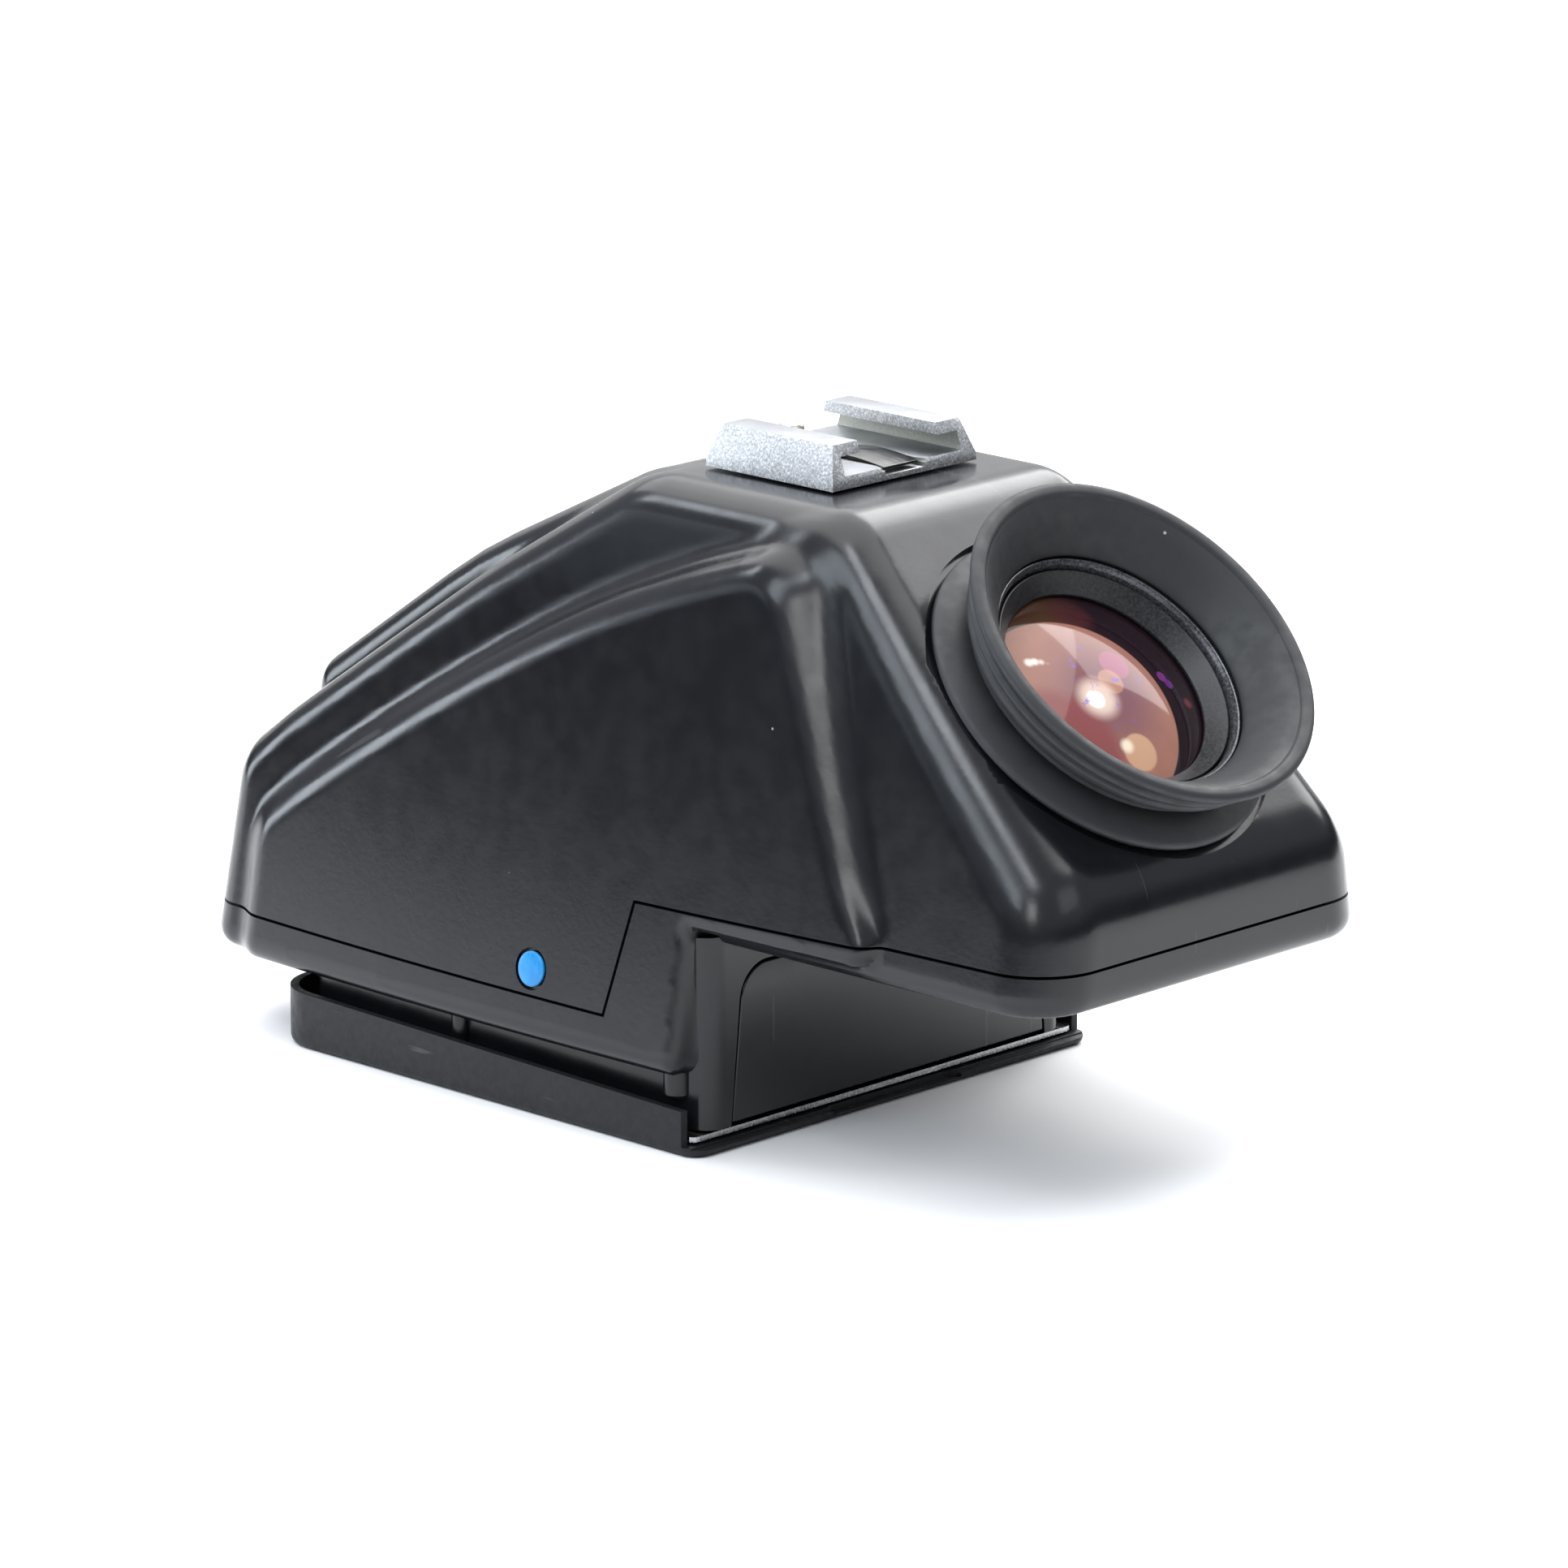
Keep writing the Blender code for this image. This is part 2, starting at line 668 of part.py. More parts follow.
def make_spring():
    """Leaf in the shoe's channel: held at its front end, bowed up in the middle."""
    root = (SPRING_ROOT[0], SPRING_ROOT[1] + 0.15)
    line = spline([root, (-22.5, 73.4), (-27.0, 73.85), (-31.0, 73.6), (-33.2, 73.3)], 4)
    thick = 0.35
    ring = [(p.x, p.y) for p in line] + [(p.x, p.y - thick) for p in reversed(line)]
    return slab_normal_to_x("shoe_spring", ring, -CHANNEL_HALF + 0.35, CHANNEL_HALF - 0.35)


def lens(name, radius, s_front, s_rear, bulge_front, bulge_rear):
    """Lens with a cylindrical edge; each bulge is the height of the cap at that side."""
    steps = 5
    profile = []
    for i in range(steps):
        r = radius * max(i, 0.06) / steps
        profile.append((r, s_rear - bulge_rear * (1.0 - (r / radius) ** 2)))
    profile.append((radius, s_rear))
    profile.append((radius, s_front))
    for i in reversed(range(steps)):
        r = radius * max(i, 0.06) / steps
        profile.append((r, s_front + bulge_front * (1.0 - (r / radius) ** 2)))
    return turned(name, profile, segments=LENS_SEGMENTS, hollow=False)


def make_eyecup():
    """Rubber cup: funnel inside, two folds outside, rolled lip."""
    profile = [
        (16.8, 2.6),
        (16.8, 4.9),
        (15.5, 4.9),
        (15.3, 5.2),
        (15.6, 5.5),
        (17.2, 7.1),
        (18.8, 9.1),
        (19.9, 10.3),
        (20.4, RIM_S),
        (21.0, RIM_S),
        (21.5, 10.2),
        (RIM_R, 9.6),
        (21.2, 8.9),
        (20.5, 8.4),
        (20.2, 8.0),
        (20.3, 7.4),
        (20.0, 6.8),
        (19.5, 6.4),
        (19.5, 5.8),
        (19.1, 5.0),
        (18.5, 4.3),
        (18.0, 3.9),
        (17.8, 3.3),
        (17.7, 2.6),
    ]
    return turned("eyecup", profile)


def make_prism():
    """Glass block: flat entry below, roof under the front slope, exit square to the eyepiece axis."""
    ring = [(-21.0, 15.5), (31.0, 15.5), (36.0, 36.0), (-4.0, 64.5), (-20.0, 64.5)]
    ring += [(-39.2, 48.4), (-57.2, 31.8), (-22.0, 25.0)]
    block = slab_normal_to_x("prism", ring, -21.5, 21.5)
    bm = bmesh.new()
    bm.from_mesh(block.data)
    ridge = Vector((0.0, 36.0, 36.0))
    normal = Vector((0.0, 28.5, 40.0)).normalized()
    for side in (-1, 1):
        plane = (normal + Vector((side, 0.0, 0.0))).normalized()
        geometry = bm.verts[:] + bm.edges[:] + bm.faces[:]
        found = bmesh.ops.bisect_plane(
            bm, geom=geometry, plane_co=ridge, plane_no=plane, clear_outer=True
        )
        edges = [e for e in found["geom_cut"] if isinstance(e, bmesh.types.BMEdge)]
        bmesh.ops.contextual_create(bm, geom=edges)
    bmesh.ops.recalc_face_normals(bm, faces=bm.faces)
    bm.to_mesh(block.data)
    bm.free()
    return block


def make_clamp():
    """Sheet strap over the prism's roof, its two legs standing on the screen frame."""
    normal = Vector((0.0, 28.5, 40.0)).normalized()
    along = Vector((0.0, -40.0, 28.5)).normalized()
    base = Vector((0.0, 10.0, 54.525))
    chevron = [(-23.1, -58.0), (-23.1, -21.4), (0.0, 1.7), (23.1, -21.4), (23.1, -58.0)]
    chevron += [(22.3, -58.0), (22.3, -21.73), (0.0, 0.57), (-22.3, -21.73), (-22.3, -58.0)]
    rings = []
    for t in (-6.0, 6.0):
        rings.append([base + along * t + normal * n + Vector((x, 0.0, 0.0)) for x, n in chevron])
    strap = loft("prism_clamp", rings)
    cut(strap, box("floor", -30.0, 30.0, -60.0, 30.0, 0.0, FRAME_Z[1] + GAP))
    return strap


def across_axis(s):
    """Placement square to the eyepiece axis, pointing up out of it, at a distance along it."""
    up = EYE_AXIS.cross(Vector((1.0, 0.0, 0.0)))

    def place(r, radius, t):
        around = Vector((math.cos(t), 0.0, 0.0)) + EYE_AXIS * math.sin(t)
        return EYE_FOOT + EYE_AXIS * s + up * r + around * radius

    return place


def screw(name, x, y, profile, place=None, segments=16):
    return turned(name, profile, place or upright(x, y), segments, False)


def build():
    clear_scene()
    paint = material("black_paint", (0.028, 0.029, 0.032), 0.0, 0.36)
    plastic = material("black_plastic", (0.045, 0.047, 0.05), 0.0, 0.6)
    rubber = material("black_rubber", (0.022, 0.022, 0.024), 0.0, 0.7)
    anodised = material("black_anodised", (0.02, 0.02, 0.022), 0.6, 0.42)
    aluminium = material("aluminium", (0.72, 0.73, 0.75), 1.0, 0.38)
    steel = material("steel", (0.6, 0.6, 0.6), 1.0, 0.28)
    spring_steel = material("spring_steel", (0.16, 0.15, 0.14), 1.0, 0.22)
    brass = material("brass", (0.72, 0.58, 0.34), 1.0, 0.3)
    coated = material("coated_glass", (0.82, 0.52, 0.45), 0.0, 0.03, 0.75)
    clear = material("clear_glass", (0.9, 0.95, 0.95), 0.0, 0.03, 0.9)
    cork = material("cork", (0.42, 0.28, 0.16), 0.0, 0.85)
    blue = material("blue_enamel", (0.0, 0.25, 0.75), 0.0, 0.35)

    upper, lower = make_shells()
    finish(upper, paint)
    finish(lower, paint)
    finish(slab_normal_to_y("rear_panel", panel_outline(0.0), NECK_REAR_Y, NECK_REAR_Y + 0.95), paint)
    finish(make_plate(), steel)
    finish(make_cover(), plastic)

    frame = box("screen_frame", -27.6, 27.6, -27.4, 33.2, *FRAME_Z)
    cut(frame, box("window", -18.0, 18.0, -19.5, 27.0, FRAME_Z[0] - 1.0, FRAME_Z[1] + 1.0))
    finish(frame, anodised)
    finish(make_prism(), clear)
    for side, name in ((-1, "prism_pad_left"), (1, "prism_pad_right")):
        edge = sorted((side * 18.6, side * 21.2))
        finish(box(name, edge[0], edge[1], -18.0, 22.0, FRAME_Z[1] + GAP, 15.5 - GAP), cork)
    finish(make_clamp(), anodised)

    finish(make_shoe(), aluminium)
    finish(make_spring(), spring_steel, Vector((0.0, *SPRING_ROOT)))
    pin = [(0.7, 72.3), (0.7, 73.7), (1.5, 73.7), (1.5, 75.2), (1.15, 75.7), (0.2, 75.95)]
    finish(screw("shoe_stop_pin", *SHOE_PIN_AT, pin, segments=24), brass)
    for i, y in enumerate(SHOE_SCREW_Y):
        profile = [(0.55, 69.0), (0.55, 71.25), (1.6, 72.4), (1.6, 72.5)]
        finish(screw(f"shoe_screw_{i + 1}", 0.0, y, profile), steel)

    barrel = [(14.8, -13.0), (15.4, -13.0), (15.4, -4.4), (18.5, -4.4)]
    barrel += [(18.5, -2.9), (15.4, -2.9), (15.4, 4.4), (15.2, 4.65), (14.8, 4.2)]
    tube = turned("eyepiece_barrel", barrel)
    slot_ring = []
    for s in (PIN_S - 2.8, PIN_S + 2.8):
        corners = [(-0.85, 14.0), (0.85, 14.0), (0.85, 16.2), (-0.85, 16.2)]
        up = EYE_AXIS.cross(Vector((1.0, 0.0, 0.0)))
        slot_ring.append([EYE_FOOT + EYE_AXIS * s + Vector((x, 0.0, 0.0)) + up * r for x, r in corners])
    cut(tube, loft("slot", slot_ring))
    for turn in BARREL_SCREW_TURNS:
        cut(tube, turned("hole", [(0.8, -5.0), (0.8, -2.0)], off_axis(17.0, turn), 12, False))
    finish(tube, anodised, EYE_FOOT)
    for i, turn in enumerate(BARREL_SCREW_TURNS):
        profile = [(1.2, -5.6), (1.2, -4.7), (0.5, -4.7), (0.5, -1.6)]
        finish(screw(f"barrel_screw_{i + 1}", 0, 0, profile, off_axis(17.0, turn), 12), steel)

    ring = [(15.7, 0.2), (FLANGE_R - 0.5, 0.2), (FLANGE_R, 0.6), (FLANGE_R, 1.1)]
    ring += [(FLANGE_R - 0.5, 1.5), (18.4, 2.3), (16.5, 2.3), (16.5, 4.6), (15.7, 4.6)]
    finish(turned("dioptre_ring", ring), rubber, EYE_FOOT)
    finish(make_eyecup(), rubber, EYE_FOOT)

    cell = [(13.1, -12.1), (14.5, -12.1), (14.5, 3.9), (14.1, 3.9)]
    cell += [(13.3, 2.15), (12.5, 2.1), (12.5, 1.6), (13.1, 1.6)]
    cell_tube = turned("lens_cell", cell)
    square = across_axis(PIN_S)
    cut(cell_tube, turned("pin_hole", [(0.75, 13.4), (0.75, 15.0)], square, 12, False))
    finish(cell_tube, anodised, EYE_FOOT)
    finish(turned("dioptre_pin", [(0.45, 13.6), (0.45, 15.5)], square, 12, False), steel, EYE_FOOT)
    finish(lens("eye_lens", 12.8, 1.3, -0.9, 2.2, 0.9), coated, EYE_FOOT)
    finish(lens("middle_lens", 12.8, -3.7, -5.8, 1.1, 0.6), coated, EYE_FOOT)
    finish(lens("front_lens", 12.8, -7.9, -9.7, 0.7, 0.8), coated, EYE_FOOT)
    rings = {
        "lens_spacer_1": [(11.7, -3.4), (12.8, -3.4), (12.8, -1.2), (11.7, -1.2)],
        "lens_spacer_2": [(11.7, -7.6), (12.8, -7.6), (12.8, -6.1), (11.7, -6.1)],
        "retaining_ring": [(11.0, -11.8), (12.8, -11.8), (12.8, -10.0), (11.9, -10.0)],
    }
    for name, profile in rings.items():
        finish(turned(name, profile), anodised, EYE_FOOT)

    for i, (x, y, z0, z1) in enumerate(POSTS):
        floor = BELLY_Z if y > 0 else TRAY_Z
        profile = [(1.9, floor - 0.15), (1.9, floor + 0.85), (0.85, floor + 0.85), (0.85, z0 + 7.5)]
        finish(screw(f"casing_screw_{i + 1}", x, y, profile), steel)
    for i, (x, y) in enumerate(PLATE_SCREWS):
        profile = [(1.7, 1.5), (0.65, 2.2), (0.65, 6.8)]
        finish(screw(f"plate_screw_{i + 1}", x, y, profile), steel)
    finish(turned("index_mark", [(2.0, -0.25), (2.0, 0.0), (1.85, 0.08)], on_pod(-1), 32, False), blue)


build()
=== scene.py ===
"""Looks of the prism viewfinder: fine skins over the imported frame, procedural materials, a plain
studio. Shapes are drawn in millimetres in the row frame and scaled to metres when they are placed."""

import math

import bpy
import numpy as np
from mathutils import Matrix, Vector


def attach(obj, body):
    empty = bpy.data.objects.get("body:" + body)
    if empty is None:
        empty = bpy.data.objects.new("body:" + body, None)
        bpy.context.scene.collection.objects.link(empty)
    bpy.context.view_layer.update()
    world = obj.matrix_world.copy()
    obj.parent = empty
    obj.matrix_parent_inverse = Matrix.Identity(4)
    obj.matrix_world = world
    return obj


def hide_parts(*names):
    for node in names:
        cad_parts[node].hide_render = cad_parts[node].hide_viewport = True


MM = 0.001
STEP = 0.65  # grid of the housing's outer skin
CAVITY_STEP = 1.7

# Housing
TOP_Z = 71.7
REAR_Y = -79.9
COLUMN_Y = -30.6
BELLY_Z = 8.7
TRAY_Z = 23.3
WALL = 2.0
FLANK_LEAN = 0.149  # inward run of the flanks per unit of height
FLANK_COS = 0.989
FLANK_FOOT_Z = 14.0  # height at which the flanks' half widths are given
SEAM_HALF = 0.17
SCREW_HOLE_R = 1.2
HEAD_HOLE_R = 2.3

# Neck, base plate and cover
NECK_HALF = 29.5
NECK_REAR_Y = -32.0
NECK_FRONT_Y = 32.0
COVER_HALF = 32.45
COVER_REAR_Y = -33.13
COVER_FRONT_Y = 35.9
PLATE_SCREWS = ((-25.8, -28.0), (25.8, -28.0), (-25.8, 28.0), (25.8, 28.0))
POSTS = (  # x, y, foot and top of the screw posts inside the housing
    (-21.5, 37.5, 11.0, 37.0),
    (21.5, 37.5, 11.0, 37.0),
    (-19.5, -70.5, 26.4, 41.0),
    (19.5, -70.5, 26.4, 41.0),
)

# Eyepiece
EYE_TILT = 47.5
EYE_FOOT = Vector((0.0, -62.5, 51.9))
EYE_AXIS = Vector((0.0, -math.cos(math.radians(EYE_TILT)), math.sin(math.radians(EYE_TILT))))
EYE_UP = Vector((0.0, math.sin(math.radians(EYE_TILT)), math.cos(math.radians(EYE_TILT))))
FLANGE_R = 21.0

# Accessory shoe
SHOE_REAR_Y = -33.87
SHOE_FRONT_Y = -14.4
SHOE_SCREWS_Y = (-29.0, -22.5)
PIN_AT = (-0.8, -17.2)

# Studio, in metres
FLOOR_WIDTH_SHARE = 0.42
NEUTRAL = (1.0, 1.0, 1.0)
LENS = 201.9
SENSOR = 36.0
CAMERA_AZIMUTH = math.radians(-46.03)
CAMERA_ELEVATION = math.radians(14.70)
CAMERA_TARGET = Vector((-0.01781, -0.0325, 0.040))
CAMERA_DISTANCE = 0.96557

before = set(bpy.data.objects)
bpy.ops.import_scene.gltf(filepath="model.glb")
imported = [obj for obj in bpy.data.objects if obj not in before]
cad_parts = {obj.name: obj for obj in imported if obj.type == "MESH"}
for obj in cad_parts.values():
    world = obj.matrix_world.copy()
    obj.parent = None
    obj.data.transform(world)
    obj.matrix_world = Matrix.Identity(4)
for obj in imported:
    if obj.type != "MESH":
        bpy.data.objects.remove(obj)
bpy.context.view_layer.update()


# Shape tools


def add_mesh(name, verts, faces):
    mesh = bpy.data.meshes.new(name)
    mesh.from_pydata(np.asarray(verts, float).tolist(), [], faces)
    obj = bpy.data.objects.new(name, mesh)
    bpy.context.scene.collection.objects.link(obj)
    return obj


def loft(name, rings, closed=False):
    """Skin over rings of equal length. An open loft gets a cap at each end, a closed one joins up."""
    count = len(rings[0])
    verts = np.array([tuple(v) for ring in rings for v in ring], float)
    faces = []
    spans = len(rings) if closed else len(rings) - 1
    for r in range(spans):
        a = r * count
        b = ((r + 1) % len(rings)) * count
        for i in range(count):
            j = (i + 1) % count
            faces.append((a + i, a + j, b + j, b + i))
    if not closed:
        faces.append(tuple(range(count))[::-1])
        faces.append(tuple(range((len(rings) - 1) * count, len(rings) * count)))
    volume = 0.0
    for face in faces:
        for i in range(1, len(face) - 1):
            volume += np.dot(verts[face[0]], np.cross(verts[face[i]], verts[face[i + 1]]))
    if volume < 0:
        faces = [f[::-1] for f in faces]
    return add_mesh(name, verts, faces)


def box(name, x0, x1, y0, y1, z0, z1):
    ring = [(x0, y0), (x1, y0), (x1, y1), (x0, y1)]
    return loft(name, [[(x, y, z) for x, y in ring] for z in (z0, z1)])


def rounded(corners, step=4.0):
    """Closed outline from corners (u, v, radius), each turned into an arc of that radius."""
    outline = []
    for i, (u, v, radius) in enumerate(corners):
        here = Vector((u, v))
        before = (Vector(corners[i - 1][:2]) - here).normalized()
        after = (Vector(corners[(i + 1) % len(corners)][:2]) - here).normalized()
        inside = before.angle(after)
        turn = math.pi - inside
        if radius <= 0 or turn < 0.01:
            outline.append(here)
            continue
        centre = here + (before + after).normalized() * radius / math.sin(inside / 2)
        reach = radius / math.tan(inside / 2)
        start = here + before * reach - centre
        end = here + after * reach - centre
        side = 1 if start.x * end.y - start.y * end.x > 0 else -1
        steps = max(1, round(math.degrees(turn) / step))
        for k in range(steps + 1):
            a = side * turn * k / steps
            spun_u = start.x * math.cos(a) - start.y * math.sin(a)
            spun_v = start.x * math.sin(a) + start.y * math.cos(a)
            outline.append(centre + Vector((spun_u, spun_v)))
    return outline


def spline(points, per_span, closed=False):
    """Smooth curve through the points, open or closed."""
    p = [Vector(q) for q in points]
    if closed:
        ends = [p[-1]] + p + [p[0], p[1]]
    else:
        ends = [2 * p[0] - p[1]] + p + [2 * p[-1] - p[-2]]
    curve = []
    for i in range(1, len(ends) - 2):
        a, b, c, d = ends[i - 1 : i + 3]
        for k in range(per_span):
            t = k / per_span
            bend = (2 * a - 5 * b + 4 * c - d) * t**2
            twist = (3 * b - 3 * c + d - a) * t**3
            curve.append(0.5 * (2 * b + (c - a) * t + bend + twist))
    if not closed:
        curve.append(p[-1])
    return curve


def rounded_rect(x0, x1, y0, y1, r_front, r_rear):
    """Rectangle in plan, with its own corner radius at the front and at the rear."""
    return rounded([(x0, y0, r_rear), (x1, y0, r_rear), (x1, y1, r_front), (x0, y1, r_front)], 6.0)


def column(name, outline, z0, z1):
    """Upright prism over an outline in plan."""
    return loft(name, [[(p.x, p.y, z) for p in outline] for z in (z0, z1)])


def across(name, outline, y0, y1):
    """Prism along Y over an outline seen from behind."""
    return loft(name, [[(p.x, y, p.y) for p in outline] for y in (y0, y1)])


def on_eye(s, radius, turn):
    """Point round the eyepiece's axis."""
    return EYE_FOOT + EYE_AXIS * s + (Vector((math.cos(turn), 0, 0)) + EYE_UP * math.sin(turn)) * radius


def upright(x, y):
    """Placement round an upright axis."""
    return lambda s, radius, turn: Vector((x + radius * math.cos(turn), y + radius * math.sin(turn), s))


def turned(name, profile, place=on_eye, segments=144, hollow=True):
    """Turned part from a profile of (radius, height): a ring, or a solid capped at both ends."""
    turns = [2 * math.pi * i / segments for i in range(segments)]
    return loft(name, [[place(s, radius, turn) for turn in turns] for radius, s in profile], closed=hollow)


def boolean(target, tool, operation):
    modifier = target.modifiers.new("cut", "BOOLEAN")
    modifier.operation = operation
    modifier.solver = "MANIFOLD"
    modifier.object = tool
    graph = bpy.context.evaluated_depsgraph_get()
    mesh = bpy.data.meshes.new_from_object(target.evaluated_get(graph))
    target.modifiers.clear()
    if not mesh.polygons:
        raise RuntimeError(f"{operation} of {target.name} and {tool.name} left nothing")
    target.data = mesh
    bpy.data.objects.remove(tool, do_unlink=True)


def cut(target, *tools):
    for tool in tools:
        boolean(target, tool, "DIFFERENCE")


def join(target, *tools):
    for tool in tools:
        boolean(target, tool, "UNION")


def copy_of(obj, name):
    made = bpy.data.objects.new(name, obj.data.copy())
    bpy.context.scene.collection.objects.link(made)
    return made


def place(obj, look, body, nodes, slot, angle=35.0, bevel=0.0):
    """Scale to metres, shade, and put the piece on its body in place of the CAD nodes."""
    mesh = obj.data
    co = np.empty(len(mesh.vertices) * 3, np.float32)
    mesh.vertices.foreach_get("co", co)
    mesh.vertices.foreach_set("co", co * MM)
    mesh.update()
    mesh.shade_smooth()
    mesh.materials.clear()
    mesh.materials.append(look)
    if bevel:
        weld = obj.modifiers.new("weld", "WELD")
        weld.merge_threshold = 0.000002
        soft = obj.modifiers.new("edge", "BEVEL")
        soft.width = bevel * MM
        soft.segments = 3
        soft.limit_method = "ANGLE"
        soft.angle_limit = math.radians(angle)
        soft.harden_normals = False
    else:
        mesh.set_sharp_from_angle(angle=math.radians(angle))
    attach(obj, body)
    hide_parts(*nodes)


# Housing as a distance field


def outline_distance(y, z, outline):
    """Distance in the side plane to a closed outline, negative inside."""
    y, z = np.broadcast_arrays(y, z)
    p = np.stack([y.ravel(), z.ravel()], 1)
    best = np.full(len(p), 1e9)
    within = np.zeros(len(p), bool)
    for a, b in zip(outline, np.roll(outline, -1, 0)):
        edge = b - a
        w = p - a
        t = np.clip((w @ edge) / (edge @ edge), 0, 1)
        d = w - t[:, None] * edge
        best = np.minimum(best, (d * d).sum(1))
        crosses = (a[1] > p[:, 1]) != (b[1] > p[:, 1])
        rise = b[1] - a[1] if b[1] != a[1] else 1e-9
        within ^= crosses & (p[:, 0] < (b[0] - a[0]) * (p[:, 1] - a[1]) / rise + a[0])
    return (np.where(within, -1, 1) * np.sqrt(best)).reshape(y.shape)


def round_and(a, b, r):
    """Overlap of two fields with the edge between them rounded."""
    return np.minimum(np.maximum(a, b), -r) + np.hypot(np.maximum(a + r, 0), np.maximum(b + r, 0))


def round_or(a, b, r):
    """Union of two fields with a fillet where they meet."""
    return np.maximum(np.minimum(a, b), r) - np.hypot(np.maximum(r - a, 0), np.maximum(r - b, 0))


def ease(v, low, high):
    """0 below low, 1 above high, smooth between."""
    t = np.clip((v - low) / (high - low), 0, 1)
    return t * t * (3 - 2 * t)


MAIN = np.array(
    rounded(
        [
            (50.3, -6, 0),
            (47.8, 31.6, 7),
            (11, 58, 60),
            (-10.7, TOP_Z, 12),
            (-42, TOP_Z, 8.5),
            (REAR_Y, 36.2, 10.5),
            (REAR_Y, -6, 0),
        ]
    )
)
HUMP = np.array(
    rounded(
        [
            (30, 30, 0),
            (47.2, 30, 0),
            (46, 39.5, 4.5),
            (20, 57.4, 80),
            (-8, 71.2, 9),
            (-19, 69, 0),
            (-19, 60, 0),
        ]
    )
)
POD = np.array(
    spline(
        [(41.2, 16), (40.7, 24), (36.5, 28.6), (22, 38.4), (6, 48.2), (-9, 56.3), (-22, 62), (-31.5, 65.4)],
        8,
    )
    + rounded([(-30, 65, 0), (-38.4, 67.2, 6.0), (-46.8, 47.5, 0)])[1:-1]
    + spline([(-45.2, 51.5), (-48.4, 43.8), (-52.6, 34.0)], 8)
    + rounded([(-52.6, 34.0, 0), (-56.9, 25.3, 2.4), (COLUMN_Y, 25.3, 0)])[1:-1]
    + [Vector((COLUMN_Y, 25.3)), Vector((COLUMN_Y, 0)), Vector((41.6, 0))]
)


def pod_face(y, z):
    """Half width of the housing over the faces of its pods, which bow a little from front to back."""
    return 33.0 - 0.00068 * (y + 5.0) ** 2 - FLANK_LEAN * (z - FLANK_FOOT_Z)


def housing(x, y, z):
    """Signed distance in mm to the outside of the housing, without its neck."""
    side = np.abs(x)

    # Main block: flat leaning flanks that curl in near the top, with softer edges low at the rear
    bulge = 0.0022 * np.clip(z - 44.0, 0, 40) ** 2
    flank = 30.0 - 0.008 * (45.0 - y) - FLANK_LEAN * (z - FLANK_FOOT_Z) - bulge
    low = np.clip((66.0 - z) / 30.0, 0, 1)
    edge = 4.2 + 1.4 * ease(y, 38, 48) + (0.4 + 2.8 * low) * ease(-y, 38, 50)
    body = round_and(outline_distance(y, z, MAIN), (side - flank) * FLANK_COS, edge)

    # Centre ridge on top
    hump = round_and(outline_distance(y, z, HUMP), side - 15.6 + 0.02 * (z - 40.0), 3.6)
    body = round_or(body, hump, 1.3)

    # Side pods, whose walls spread towards their foot, most of all at the rear
    depth = pod_face(y, z) - side
    behind = ease(-(y + 38.4 + (67.2 - z) * 0.444), -7.0, 3.5)
    spread = 2.2 - 0.4 * np.clip((-y - 5.0) / 30.0, 0, 1)
    spread = spread + (1.6 - spread) * ease(y, 36, 41)
    spread = spread + (4.0 - 1.1 * ease(-z, -52, -28) - spread) * behind
    spread = spread * (1 - ease(-z, -27.5, -25.0) * ease(-y, 28.0, 30.0))
    slope = (0.3 + 0.45 * spread) / 2.4
    free = np.maximum(ease(z, 25, 36), ease(y, -30, -26))
    slope = slope * free
    wall = (outline_distance(y, z, POD) - slope * (np.clip(depth, -2, 5.5) - 0.5)) / np.sqrt(1 + slope**2)
    pod = round_and(wall, -depth * FLANK_COS, 1.5 + free * (0.9 + 1.2 * behind))
    fillet = 0.6 + 0.8 * np.maximum(ease(z, 25, 31), ease(y, -30, -24))
    both = round_or(body, pod, fillet)

    # The front part reaches down to the belly, the rear part only to the tray
    front = round_and(round_and(both, BELLY_Z - z, 2.5), COLUMN_Y - y, 1.6)
    rear = round_and(both, TRAY_Z - z, 2.5)
    return np.minimum(front, rear)


